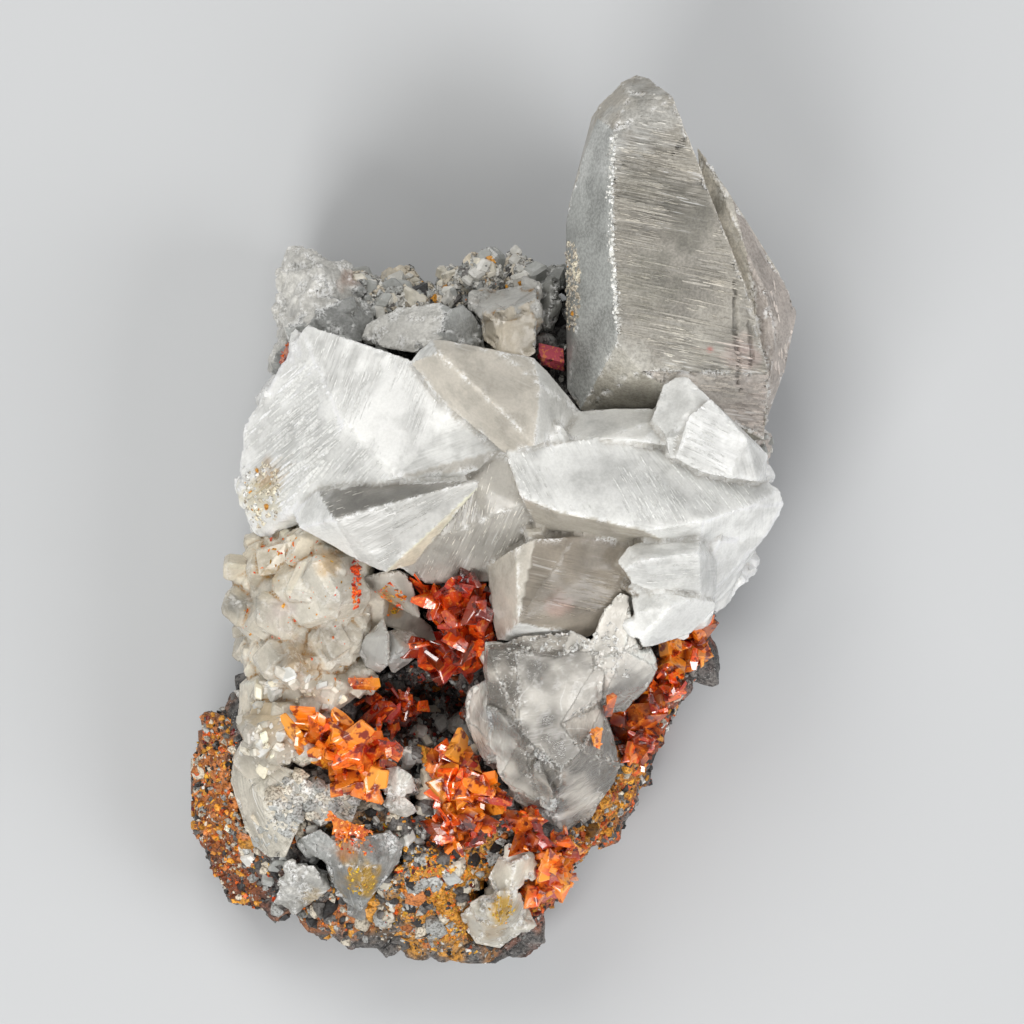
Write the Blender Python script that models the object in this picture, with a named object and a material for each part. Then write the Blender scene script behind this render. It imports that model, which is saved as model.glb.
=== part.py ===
"""A calcite specimen: clear, grey and white calcite crystals and orange-red realgar on grey rock.

The specimen lies on its broken back, as a loose cabinet specimen does. +Z points up, out of the crystals'
face, and +Y points along its length, towards the tip of the large crystal. The origin is the middle of the
footprint, on the surface that the rock rests on.

Each crystal is the convex body around a few corners. A corner is (right, down, height) in millimetres:
right and down are measured on the face that shows, from a datum at its upper left, and height is measured
up from the surface that the specimen rests on.
"""

import math
import random

import bmesh
import bpy
from mathutils import Euler, Matrix, Vector
from mathutils.bvhtree import BVHTree

# Driving dimensions, in millimetres
DATUM_RIGHT = 49.3
DATUM_DOWN = 52.1
GAP = 0.3
ROOT_SPREAD = 0.8
BLADE_SIDES = 4
BLADE_TIP = 0.12
BLADE_SLANT = 0.35
BLADE_NARROWING = 0.92
TOOTH_STRETCH = 1.2
TOOTH_WAIST = 0.8
TOOTH_ZIGZAG = 0.28
CHIP_COUNT = 18
CHIP_SIZES = (0.7, 1.7)
CHIP_STRETCH = (0.8, 1.1)
CHIP_SINK = 0.35
CHIP_RIGHT = (20, 66)
CHIP_DOWN = (70, 96)
SKY = 60
SHEET = (0, 110)
SHORTEST_EDGES = (0.02, 0.01, 0.004, 0.001)
FLAT = math.radians(0.5)
ROCK_DEPTH = -3
NEARBY = 4 * GAP
METRES = 0.001


def rooted(front, floor, spread=ROOT_SPREAD):
    """Corners of a crystal: those that show, and a smaller copy of their outline down at its root."""
    middle = sum((Vector(corner) for corner in front), Vector()) / len(front)
    root = [middle.lerp(Vector(corner), spread) for corner in front]
    return [Vector(corner) for corner in front] + [Vector((c.x, c.y, floor)) for c in root]


def blade(start, end, width, thickness, roll=0.0):
    """Corners of a realgar prism from its root to its slanting tip: four-sided, and narrower at the tip."""
    start, end = Vector(start), Vector(end)
    length = (end - start).length
    along = (end - start).normalized()
    side = Matrix.Rotation(math.radians(roll), 3, along) @ along.cross(Vector((0, 0, 1))).normalized()
    up = side.cross(along)
    corners = []
    for index in range(BLADE_SIDES):
        angle = math.tau * index / BLADE_SIDES
        across = side * math.cos(angle) * width / 2 + up * math.sin(angle) * thickness / 2
        slant = math.cos(angle) * width * BLADE_SLANT
        corners.append(start + across)
        corners.append(end - along * (BLADE_TIP * length + slant) + across * BLADE_NARROWING)
    return corners


def tooth(centre, size, turn, stretch=TOOTH_STRETCH):
    """Corners of a small dog-tooth calcite: two three-sided pyramids, base to base, turned by 60 degrees."""
    spin = Euler([math.radians(angle) for angle in turn]).to_matrix()
    corners = [spin @ Vector((0, 0, stretch)) * size, spin @ Vector((0, 0, -stretch)) * size]
    for index in range(6):
        angle = math.tau * index / 6
        rise = TOOTH_ZIGZAG if index % 2 else -TOOTH_ZIGZAG
        waist = Vector((math.cos(angle) * TOOTH_WAIST, math.sin(angle) * TOOTH_WAIST, rise))
        corners.append(spin @ waist * size)
    return [Vector(centre) + corner for corner in corners]


# The calcite crystals
LARGE_CRYSTAL = {
    "front": [
        (63.6, 7.5, 21), (65.0, 7.9, 22), (66.1, 8.9, 24), (62.0, 8.3, 22), (63.0, 9.2, 25.5),
        (67.2, 9.8, 26.5), (61.3, 13.2, 28.5), (61.1, 25, 29), (61.7, 34.3, 29), (64, 37.2, 28.4),
        (69, 14.5, 26.6), (71.6, 22.5, 26), (75, 30, 25.2), (76.8, 37.5, 24.8), (76.4, 44, 22),
        (60, 10.4, 22), (59.2, 11.6, 21), (59.7, 11.9, 24.5), (58.2, 16, 23), (57.6, 24, 23.5),
        (57.5, 33, 23.5), (56.6, 21.5, 20), (56.6, 30, 19.5), (56.7, 38.9, 20), (58, 41, 21.5),
        (65.5, 40.9, 23), (66, 37.9, 27), (64, 9.4, 15), (59.8, 12.8, 14), (57.6, 25, 9.5),
        (57.4, 38.5, 9.5), (60, 42.5, 8), (69, 16.5, 14), (73.5, 30, 10), (75, 43, 9), (70, 45.5, 8),
    ],
    "side plate": [
        (69.7, 14.6, 20), (71.3, 16.7, 21), (73.3, 20, 21.5), (74.6, 22.4, 21.5), (76.5, 25.9, 21),
        (77.8, 27.1, 20.5), (79.1, 29.2, 20), (79.7, 31.3, 19), (79.3, 33.2, 20), (78.5, 37, 20),
        (77.5, 39.5, 20), (76.5, 42.5, 19.5), (74.5, 25, 23.5), (76.5, 29, 23.5), (77.5, 33, 23),
        (76.8, 39, 22.5), (70, 20, 20), (70.5, 18, 14), (76, 27.5, 11.5), (78.5, 31.5, 12),
        (77.5, 38, 11), (75.5, 42.5, 11), (72, 38, 9.5),
    ],
    "foot splinters": [
        (75.5, 42, 21), (77.2, 43.4, 19.5), (76.8, 43.9, 19.5), (77.4, 44.2, 18.5), (76.8, 45.2, 19),
        (76.6, 47.9, 17.5), (74.5, 47, 20), (74, 43, 21), (76, 43, 11), (75.5, 47, 10.5), (73.5, 45, 10.5),
    ],
}

WHITE_CLUSTER = {
    "left fan": [
        (30.8, 32.5, 24.5), (30.3, 33.1, 24.5), (36, 34.3, 27.5), (41, 36, 29.5), (45.5, 41.8, 31),
        (50, 45, 30.5), (28.3, 36.6, 22.5), (34.5, 42.6, 30), (39.5, 47.8, 32), (26.2, 39.5, 20),
        (24.2, 43, 18.5), (23.9, 47, 18.5), (24.7, 51.2, 18.5), (26.2, 53.7, 17.5), (29.2, 51.4, 24),
        (40, 48.6, 30.5), (45.5, 48, 30.5), (48, 47, 30.5), (31, 34.5, 12), (42, 38.5, 11),
        (28.5, 38.5, 9.5), (26.2, 42, 7.5), (26, 48, 6.5), (27, 52, 7), (42, 48, 9.5), (34, 51, 8),
    ],
    "left foot": rooted([
        (24, 47, 19), (26.2, 45.5, 20), (30, 47, 22.5), (29.5, 51.2, 22.5), (27, 53.8, 18.5),
        (25.8, 53.2, 17), (24.7, 51, 17.5),
    ], 8),
    "upper prism": rooted([
        (41.1, 36.3, 30.5), (42.1, 35, 30.5), (43.3, 34.1, 31), (44.5, 34.1, 32), (43.7, 35.4, 33.5),
        (50, 35.2, 32), (53.3, 35.8, 30.5), (54.7, 37.2, 29.5), (58, 41.1, 26.5), (57.5, 43.2, 27),
        (55.3, 43.5, 32), (54, 38.6, 33), (49.7, 40.8, 35.5), (53.5, 44.7, 35), (50.5, 45.4, 32),
        (48, 42.8, 32), (44, 40.1, 31), (42.5, 38.3, 30.5),
    ], 12, 0.7),
    "dagger": rooted([
        (48, 48, 35), (47.9, 48.7, 34.5), (40, 48.3, 31), (34.5, 48.7, 29), (31.8, 49.1, 27),
        (29.2, 51.3, 24), (40, 50.1, 34.5), (33.5, 51.9, 32.5), (38.6, 57.2, 30), (36, 56.1, 29.5),
        (30, 52.8, 26.5), (41.5, 56.4, 28),
    ], 16),
    "centre fan": rooted([
        (44, 47, 29), (50.5, 45.2, 30.5), (52.2, 50.5, 30.5), (54.1, 53.2, 28), (51.6, 54.6, 27),
        (49, 56.2, 25.5), (48.8, 58.2, 23), (45.5, 58.4, 22.5), (42.5, 58.2, 22.5), (40.8, 56.6, 23),
        (38.5, 56, 24),
    ], 12),
    "right wedge": [
        (50.5, 45.3, 33), (54, 44.8, 33), (58, 44, 32), (62, 43.7, 31), (65, 44.5, 30), (70, 47.1, 29.5),
        (76.5, 48, 25.5), (78, 49, 25), (78.4, 50.4, 24), (77.9, 51.8, 23), (76.5, 53.8, 22.5),
        (52, 49.7, 33), (56, 51.3, 33.5), (60, 52.1, 34), (64.3, 53.1, 33.5), (70, 52.2, 33),
        (74.5, 50.8, 29.5), (54, 53.3, 28), (60, 53.9, 28), (64, 54.2, 29.5), (70, 56, 27),
        (74, 56.8, 21), (51.4, 48, 31), (56, 47, 12.5), (72, 48.5, 12.5), (76, 51, 16), (73.5, 55.5, 12.5),
        (60, 52.5, 12.5), (54, 52, 14),
    ],
    "right flank": rooted([
        (69, 54.5, 29.5), (72, 54, 28.5), (76, 54.1, 21.5), (74.2, 56.7, 19), (73.6, 58.2, 17),
        (72.7, 59.7, 14.5), (71.4, 61.2, 14.5), (70.5, 60.2, 25), (69, 59.6, 27),
    ], 7.5, 0.85),
    "upper right plate": rooted([
        (65.5, 40.9, 29.5), (66.2, 38.6, 29), (67.5, 37.8, 29), (68.6, 37.7, 29.5), (71.2, 40.2, 31),
        (70, 43, 33), (66.8, 44, 32), (65, 42, 30.5),
    ], 17.5),
    "upper right slab": rooted([
        (70.9, 39.9, 32.5), (74.5, 43.8, 31), (76.7, 45.4, 27), (76.7, 47.9, 25), (75.7, 48.2, 29),
        (73, 47.9, 31), (70, 47.3, 32), (67.4, 45.8, 33), (68.3, 44, 33.5), (68.6, 41.8, 33.5),
    ], 14.5, 0.85),
    "saddle": rooted([
        (55.6, 43.7, 29.5), (58, 41.1, 27), (61, 40.9, 27.5), (65, 40.9, 28), (66.8, 41.7, 29.5),
        (67.5, 44.7, 30.5), (64, 44, 31.5), (60, 43.9, 32),
    ], 13, 0.85),
    "lower block": rooted([
        (48.8, 56.5, 25), (51.6, 54.6, 30), (53.5, 53.8, 30.5), (57.5, 53.6, 30.5), (61.2, 54, 29.5),
        (62.8, 55, 29), (63.6, 58, 28), (62.8, 60.6, 27.5), (60, 62.6, 27), (58.8, 63.7, 27),
        (54.5, 62.5, 29), (51.8, 62.2, 31), (50.5, 64.1, 26.5), (49.7, 64.1, 25), (48.9, 60, 24),
    ], 11, 0.85),
    "right point": rooted([
        (61.6, 56.2, 32), (62.7, 54.6, 32), (64.2, 54.1, 31.5), (70, 53.6, 30), (69.7, 55.2, 33.5),
        (64, 56, 34.5), (62.3, 57, 33), (63, 58.2, 31.5), (66, 59.4, 30.5), (70, 59.5, 29.5),
        (71.5, 60.1, 25.5), (71.6, 56, 27),
    ], 16),
    "right foot": rooted([
        (63.1, 60, 29.5), (63.4, 59.2, 29.5), (64.5, 58.8, 30), (66.2, 59.2, 31), (69, 59.7, 31),
        (71.4, 60.2, 27), (71.5, 60.7, 26.5), (70.3, 62, 26.5), (69, 63.3, 26.5), (65.5, 64.5, 28),
        (64.2, 64.7, 29), (63.8, 64, 30), (63.4, 61.2, 30.5), (67, 60.6, 32.5),
    ], 13, 0.85),
}

CLEAR_CRYSTAL = {
    "upper block": rooted([
        (48.5, 64.1, 28), (48.7, 64.8, 29.5), (51.5, 65, 30.5), (59, 64.3, 29), (60.4, 65.2, 29),
        (60.3, 70.2, 27), (56, 72.2, 29), (52.1, 73.5, 30), (48.9, 70.2, 28), (48.4, 68.2, 25.5),
    ], 11),
    "broken top": rooted([
        (50.8, 64.3, 28), (52.2, 63, 28.5), (54, 62.2, 28.5), (57, 63, 29), (59.2, 64, 29),
        (56, 65.6, 31), (52, 65.1, 30),
    ], 14),
    "right slab": rooted([
        (60, 61.3, 28), (61.4, 58.8, 28.5), (63.4, 59.8, 29), (63.7, 64.2, 29), (65.2, 64.8, 26.5),
        (65.8, 66.8, 24), (64.6, 69, 21.5), (62.5, 71.1, 20), (61.2, 71.3, 21), (60, 70.3, 25),
        (59.4, 66, 29.5), (59, 64.2, 29), (62.5, 65, 30),
    ], 8),
    "left shard": rooted([
        (46.5, 70.1, 21.5), (47, 68.8, 22.5), (48.4, 68.1, 25), (49.2, 70.6, 27), (48.9, 74, 26.5),
        (49.3, 76.3, 24), (48.2, 75.7, 21.5), (47.2, 74, 21), (46.7, 72, 21.5),
    ], 9.5),
    "front shard": rooted([
        (48.5, 70.3, 28.5), (50, 71, 29.5), (52.2, 73.5, 30.5), (54.5, 75.7, 29), (56, 77.5, 27),
        (53.5, 80.1, 25), (51.2, 79.1, 24), (50, 77.6, 25), (49, 74.5, 26.5),
    ], 11),
    "lower mass": rooted([
        (52.1, 73.5, 30), (56, 72.2, 29), (60.3, 70.5, 25.5), (61.4, 73.5, 22.5), (62.1, 76.5, 20),
        (61.2, 78.8, 17.5), (60, 80.2, 16), (59, 81.8, 14.5), (57.2, 83.2, 13.5), (55.6, 83.9, 13.5),
        (54.3, 83.4, 14.5), (53.2, 81.5, 17), (50.8, 79, 20), (56, 77, 28), (58.2, 75, 28),
    ], 5.5, 0.85),
    "little prism": rooted([
        (53.2, 76.3, 29), (53.9, 76, 29), (55.3, 79, 27.5), (55.7, 81.2, 24), (54.1, 80.6, 24),
        (53.4, 78.5, 26.5),
    ], 17.5),
}

UPPER_LEFT_CALCITE = {
    "peak": rooted([
        (30.3, 25.1, 17), (29.3, 25.7, 16), (29.1, 26.8, 16), (28.4, 28, 16), (31.1, 25.4, 17.5),
        (33.1, 26.1, 17.5), (34.1, 26.5, 17), (35.3, 28, 16), (36.4, 29.6, 16), (34, 31, 20),
        (30, 30, 21), (32, 27.5, 20),
    ], 4),
    "shoulder": rooted([
        (27.7, 29.2, 14.5), (27.7, 30.4, 14.5), (28.4, 32, 16), (30, 28.5, 20), (34, 30, 21),
        (37.4, 31.2, 18.5), (37.4, 32.5, 19), (36.2, 34.2, 21.5), (30, 33.5, 22.5), (32, 31, 22),
        (28.4, 33.2, 16),
    ], 4),
    "heel": rooted([
        (28.4, 32.8, 16), (27.7, 35.4, 14.5), (27.9, 36.9, 14.5), (30, 38, 17.5), (31, 34, 20),
        (30, 32.5, 19),
    ], 4),
}

SUGARY_CRYSTAL = {
    "sugary face": rooted([
        (36.2, 33.9, 22.5), (36.6, 32.5, 21.5), (38, 31.7, 22.5), (40, 30.9, 22.5), (44, 30.3, 23),
        (45.2, 31, 23.5), (44.4, 31.8, 25.5), (44.3, 34, 26.5), (41.5, 35.3, 25), (38.5, 34.8, 24),
    ], 8),
    "striped face": rooted([
        (44.4, 31.2, 25), (46.3, 30.6, 23), (47.3, 31.5, 22.5), (48.3, 33.2, 21.5), (48.5, 34.9, 21.5),
        (44.6, 34.4, 25.5), (44.2, 33.5, 26.5),
    ], 8),
}

BLOCKY_CRYSTAL = {
    "block": rooted([
        (48, 32.7, 22.5), (49.2, 31.8, 25), (50.3, 31.6, 25.5), (53.6, 29.8, 25), (53.7, 28.8, 21.5),
        (53.6, 35.3, 24), (52.8, 35.9, 24), (50, 35.4, 25), (48.4, 34.1, 23),
    ], 6.5, 0.9),
    "rough top": rooted([
        (46.8, 30.2, 20), (48, 29.4, 19), (51.2, 28.7, 19), (53.6, 28.3, 18.5), (53.7, 29.7, 23),
        (50.3, 31.6, 25), (48.2, 32.5, 23),
    ], 5, 0.9),
}

SMOKY_CRYSTAL = {
    "smoky tooth": rooted([
        (53.8, 28.5, 18.5), (54.5, 28.2, 19), (55.7, 28.7, 20), (56.2, 30.5, 19), (55.6, 32.2, 19),
        (54.5, 32.9, 20), (53.8, 31.8, 19),
    ], 5, 0.9),
    "pale tip": rooted([
        (54.9, 27.7, 17.5), (55.6, 26.7, 16), (56.5, 26.5, 16), (56.6, 29, 17.5), (55.6, 28.7, 19),
        (54.5, 28.3, 17.5),
    ], 5, 0.9),
}

FIBROUS_SLAB = {
    "slab": rooted([
        (23.1, 75.8, 16), (24.6, 75.5, 17), (27.2, 76.3, 19), (30, 77.2, 20), (31.6, 79, 19),
        (30.3, 81.8, 20), (29.2, 84.2, 19), (28.5, 85.8, 17.5), (26.8, 85.9, 16), (25.3, 84.6, 15),
        (24.3, 82.6, 15), (23.7, 80.6, 15), (22.9, 78.2, 15), (26.2, 80, 20.5),
    ], 7, 0.85),
    "apron": rooted([
        (30, 78.2, 20), (33, 78.5, 20.5), (36.2, 80, 20), (35.2, 82.2, 19), (31.8, 82.2, 19),
        (29.6, 81.5, 19.5),
    ], 9.5),
}

GREY_CRYSTAL = {
    "grey tooth": rooted([
        (32.8, 86.6, 18.5), (33.3, 83.8, 19), (35.2, 83.8, 21.5), (39.2, 83.2, 20), (40.3, 84.5, 19),
        (40.1, 86, 18.5), (38.6, 88, 18.5), (37.1, 89.8, 17.5), (36, 91.3, 16), (34.4, 90.3, 16),
        (33.1, 88.4, 17), (36.2, 86.8, 22.5),
    ], 8),
    "grey scale": rooted([
        (30, 83.8, 18.5), (32, 82.9, 20), (33.4, 84, 20), (33.5, 85.6, 19), (32.4, 86.3, 18.5),
        (30.6, 85.2, 17.5),
    ], 9.5),
}

SMALL_GREY_CRYSTAL = {
    "flat tooth": rooted([
        (38.5, 79.7, 19), (40, 79.3, 21), (41.2, 80.3, 21), (41.9, 81.2, 19), (40.6, 81.8, 19),
        (38.8, 81.2, 19), (39.9, 80.5, 21.5),
    ], 11),
    "knob": rooted([
        (37.8, 77, 20), (39.8, 76.5, 21), (41.2, 77.5, 21), (41.8, 79.2, 20), (40, 79.5, 21),
        (38, 79, 20),
    ], 11),
}

LOWER_RIGHT_CALCITE = {
    "upper tooth": rooted([
        (48.8, 87.8, 18.5), (49.9, 85.6, 19), (51.5, 86.1, 21), (52.9, 85.5, 20), (53.4, 86.2, 19),
        (52.4, 88.5, 18.5), (51, 89.7, 20), (49.4, 89.3, 19),
    ], 9),
    "lower block": rooted([
        (46, 91.5, 16), (47.4, 90.2, 18.5), (50, 89, 21), (52.1, 89.3, 18.5), (52.5, 91.2, 16),
        (52.1, 93.6, 13), (50, 95.1, 11), (47.6, 94.6, 12), (46.4, 93, 13.5), (49.5, 91.5, 21),
    ], 5.5, 0.85),
}

LOWER_LEFT_CALCITE = {
    "sugary scale": rooted([
        (27.2, 90.5, 12), (28.4, 88, 17), (30, 86.6, 18.5), (31.4, 86.6, 18.5), (32.3, 88, 17.5),
        (32.1, 89.6, 15), (30, 91.2, 11), (28.4, 91.2, 10.5),
    ], 5.5, 0.85),
}

LEFT_DRUSE = {
    "crust": rooted([
        (25, 55.5, 17), (30, 52.5, 21), (35.6, 54, 22.5), (36.6, 57, 22), (36.2, 64, 21),
        (34.5, 70, 20), (31, 74.5, 19), (27, 76.2, 16.5), (25.2, 74, 15), (24.7, 69, 14), (24, 62, 13),
        (30, 62, 23),
    ], 7, 0.9),
    "top tooth": tooth((32.5, 54, 22.5), 3.5, (25, 15, 70)),
    "rim tooth": tooth((27.2, 56, 19), 2.7, (40, 20, 15)),
    "left tooth": tooth((24.3, 57.3, 15), 1.5, (20, 60, 15)),
    "big tooth": tooth((31.6, 59.2, 23), 3.4, (12, 18, 35)),
    "grey tooth": tooth((28.1, 61.8, 21), 2.9, (35, -25, 5)),
    "glassy tooth": tooth((24.6, 60.6, 15.5), 2, (15, 35, 25)),
    "middle tooth": tooth((33.3, 64, 22), 3.1, (-20, 25, 50)),
    "right tooth": tooth((35, 57.5, 21.5), 2.2, (40, 10, 0)),
    "edge tooth": tooth((35.7, 61.2, 21), 1.8, (15, 40, 30)),
    "lower tooth": tooth((29.1, 66.4, 21), 3.2, (30, 15, 75)),
    "lower right tooth": tooth((32.5, 68.2, 20), 2.2, (10, 50, 10)),
    "round tooth": tooth((35.6, 68.2, 20), 2.5, (50, 20, 60)),
    "left low tooth": tooth((26.7, 69, 18), 2.3, (35, 35, 35)),
    "low tooth": tooth((27.6, 72.2, 18), 2.4, (15, 10, 80)),
    "tail tooth": tooth((31, 70.8, 20), 1.8, (65, 15, 20)),
    "foot tooth": tooth((29.6, 74.2, 19), 2.4, (25, 45, 45)),
    "last tooth": tooth((26.8, 74.8, 17), 1.9, (45, 5, 15)),
    "outer tooth": tooth((25.2, 65, 14), 1.8, (30, 70, 15)),
    "outer low tooth": tooth((25.4, 69, 13.5), 1.6, (10, 60, 35)),
}

DOG_TEETH = {
    "left dog tooth": rooted([
        (35.8, 65.1, 21.5), (36.6, 63.6, 22.5), (38.3, 61.9, 23), (38.9, 63.6, 24.5), (38.9, 66.3, 23.5),
        (37.9, 67.3, 21), (36.6, 66.6, 21.5),
    ], 14),
    "right dog tooth": rooted([
        (39, 63, 21.5), (41.2, 63.2, 21), (42.8, 64.4, 20), (40.8, 66.4, 21), (39.3, 67.4, 20),
        (38.8, 66.2, 22.5), (40.2, 64.8, 23),
    ], 13),
    "green tooth": rooted([
        (36.2, 57.7, 23), (38.5, 57.2, 24.5), (40.8, 57, 23), (42.1, 61.9, 21.5), (40, 60.6, 21),
        (37, 59, 21.5),
    ], 14),
    "shaded tooth": rooted([
        (37, 59, 21), (40, 60, 20), (43.2, 62.8, 18.5), (44, 64.5, 17.5), (41, 63.2, 19),
        (37.2, 62, 20),
    ], 11),
}

# The realgar clusters: each prism goes from its root to its tip
REALGAR_TOP = {
    "long blade": blade((44.8, 61.2, 19), (40.9, 56.3, 23.5), 2.4, 1.9, 20),
    "left wing": blade((45.8, 62.8, 19), (43, 59.8, 23.5), 3.4, 1.9, -30),
    "left face": blade((46.2, 64, 19), (44.4, 58, 24.5), 3.2, 2.1, 35),
    "middle spire": blade((46.8, 64, 19), (45.7, 57.6, 25), 3, 2.4, 10),
    "right spire": blade((47.6, 64.2, 19), (48.4, 57.8, 24), 3.7, 2.7, -15),
    "front plate": blade((47.4, 65, 20), (47.8, 59.2, 25.5), 3.2, 1.6, 50),
    "back plate": blade((48, 65.5, 17.5), (48.8, 62.5, 23), 2.7, 2.1, 0),
    "lower plate": blade((47.6, 66.4, 18.5), (44.7, 63, 24), 3.7, 1.8, -20),
    "lower flap": blade((48, 65, 19), (45.5, 66.2, 23), 2.9, 1.8, 25),
    "cube": blade((45.6, 66.2, 18.5), (44.3, 64.6, 23), 2.4, 2.2, 45),
    "brown plate": blade((45, 66.8, 17.5), (41.6, 65, 22), 3, 1.8, 10),
    "left foot": blade((43, 66.4, 17), (40.3, 67.4, 21), 2.1, 1.8, 30),
}

REALGAR_POCKET = {
    "upper blade": blade((38.8, 71.2, 14.5), (40.9, 69.5, 19.5), 2.1, 1.6, 15),
    "upper knob": blade((38.2, 71, 14.5), (37, 69.6, 19), 2.4, 1.8, 40),
    "long ribbon": blade((36, 73, 16), (39.2, 70, 20), 1.8, 1.3, 0),
    "low ribbon": blade((40.4, 72.2, 14.5), (37.8, 71.6, 19), 1.6, 1.3, 60),
    "inner prism": blade((40.2, 72.5, 13), (42.1, 70.2, 17), 1.4, 1.2, 0),
    "pink prism": blade((43.2, 75.8, 15), (39.4, 73, 20.5), 2.6, 1.8, 25),
    "back prism": blade((42.4, 74.8, 13.5), (40.2, 72.3, 19), 1.8, 1.4, 0),
}

REALGAR_LEFT = {
    "bridge": blade((35.2, 74.5, 18.5), (30.2, 72.2, 22), 2.6, 1.8, 20),
    "left tip": blade((32.5, 73.8, 18.5), (29.6, 74.1, 21.5), 1.9, 1.4, 0),
    "top ridge": blade((37.6, 75.2, 18.5), (33, 72.2, 22.5), 2.9, 2.1, -25),
    "amber face": blade((34.5, 77.2, 17.5), (32.6, 74.2, 23), 4, 2.1, 35),
    "middle face": blade((36.2, 77.2, 18.5), (34.9, 73.8, 24), 3.4, 2.4, 10),
    "right face": blade((36.6, 76.6, 18.5), (37.9, 74.4, 23), 3.7, 1.9, -30),
    "low face": blade((35.8, 76.5, 18.5), (35.2, 79.2, 21.5), 4, 2.4, 20),
    "right knob": blade((36.4, 76.2, 18.5), (38.6, 76.8, 21.5), 2.9, 2.1, 40),
    "pale plate": blade((36, 76, 19), (37.2, 78.4, 22.5), 2.9, 1.6, -40),
}

REALGAR_CENTRE = {
    "left arm": blade((45, 77, 17.5), (42.8, 75.7, 20.5), 2.1, 1.6, 0),
    "upper arm": blade((44.8, 77.2, 17.5), (46.6, 74.5, 21), 2.7, 1.8, 30),
    "right arm": blade((45.2, 76.8, 17), (47.6, 76.4, 20.5), 2.2, 1.6, -20),
    "neck": blade((44.6, 79.2, 17.5), (44.6, 76.4, 21.5), 2.9, 1.9, 15),
    "middle plate": blade((46, 80, 17.5), (47.4, 78, 22.5), 3.5, 1.9, -35),
    "right mass": blade((47.6, 80, 17.5), (50.1, 79.6, 21.5), 4, 2.7, 20),
    "left mass": blade((46.2, 80.6, 17.5), (43.7, 79.2, 21), 3.2, 2.1, 0),
    "front fold": blade((47, 81.2, 17.5), (49.2, 78.4, 22.5), 2.4, 1.9, 45),
}

REALGAR_LOWER = {
    "long leaf": blade((48, 82.2, 17.5), (42.4, 83.2, 20.5), 2.6, 1.6, -15),
    "upper leaf": blade((45, 82.6, 17.5), (47.8, 80.4, 22), 3.5, 1.8, 25),
    "red leaf": blade((45, 83.6, 17.5), (48.4, 81.6, 22), 3.8, 1.9, -35),
    "left leaf": blade((45.2, 83, 17.5), (44, 80.8, 21.5), 2.7, 1.6, 10),
    "low leaf": blade((47, 82.8, 17.5), (47, 84.6, 20), 2.4, 1.8, 0),
    "far leaf": blade((43, 84.2, 17), (40.4, 82.6, 20), 2.1, 1.6, 30),
}

REALGAR_SPRAY = {
    "flat leaf": blade((53.4, 82.2, 17), (50.1, 81.7, 20.5), 1.8, 1.3, 0),
    "bright leaf": blade((51.6, 82.6, 17), (53.8, 81.3, 21), 2.4, 1.6, 30),
    "stem": blade((52.8, 82.4, 17), (51.6, 86, 20.5), 1.9, 1.6, 0),
    "side stem": blade((52.4, 82.8, 17), (53.8, 84.8, 20), 2.1, 1.8, 25),
}

REALGAR_LOWER_RIGHT = {
    "crown": blade((55.6, 86.2, 14.5), (56, 83.4, 19), 2.4, 1.9, 20),
    "right point": blade((55.2, 86.2, 14.5), (57.3, 85, 18), 2.7, 2.1, 0),
    "left point": blade((55.6, 87, 14.5), (53.7, 85, 18.5), 2.9, 1.9, -25),
    "middle face": blade((54.5, 88.8, 14.5), (55.2, 85.8, 20), 3.7, 2.4, 35),
    "low face": blade((55.2, 86.8, 13.5), (54.8, 90, 16), 3.7, 2.7, 15),
    "right face": blade((54.8, 87.6, 13), (56.3, 87.6, 17), 2.9, 2.6, 0),
    "tail": blade((53.6, 88, 14.5), (52.4, 90.8, 16), 2.2, 1.8, 10),
}

REALGAR_RIGHT_EDGE = {
    "upper prism": blade((63.8, 70.6, 12), (67.6, 68, 16), 2.9, 2.4, 10),
    "striped prism": blade((62.2, 73.4, 13), (65.5, 70.6, 17), 3.4, 2.6, -10),
    "inner prism": blade((63.2, 71.6, 12), (61.6, 72.2, 16), 2.4, 1.9, 0),
    "low prism": blade((63, 73.8, 12), (65.6, 72.8, 15), 2.6, 2.2, 20),
    "amber block": blade((62.8, 75.6, 11), (64.2, 73.8, 15.5), 3.5, 2.7, 35),
    "foot": blade((62.6, 74.8, 10.5), (64.6, 75.8, 13.5), 2.1, 1.9, 0),
}

REALGAR_UPPER_RIGHT = {
    "left prism": blade((66.4, 66.8, 12), (64.4, 69, 16), 2.2, 1.8, 0),
    "amber crust": blade((65, 67.6, 12), (68.2, 66, 17), 3, 2.2, 25),
    "outer crust": blade((67.6, 66.4, 11), (70.4, 64.8, 15.5), 2.9, 2.4, -15),
    "inner crust": blade((69, 65.5, 12), (66, 64.6, 17), 2.7, 2.1, 30),
    "upper crust": blade((69, 64.6, 12), (71.2, 61.8, 15.5), 2.1, 1.9, 0),
}

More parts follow.
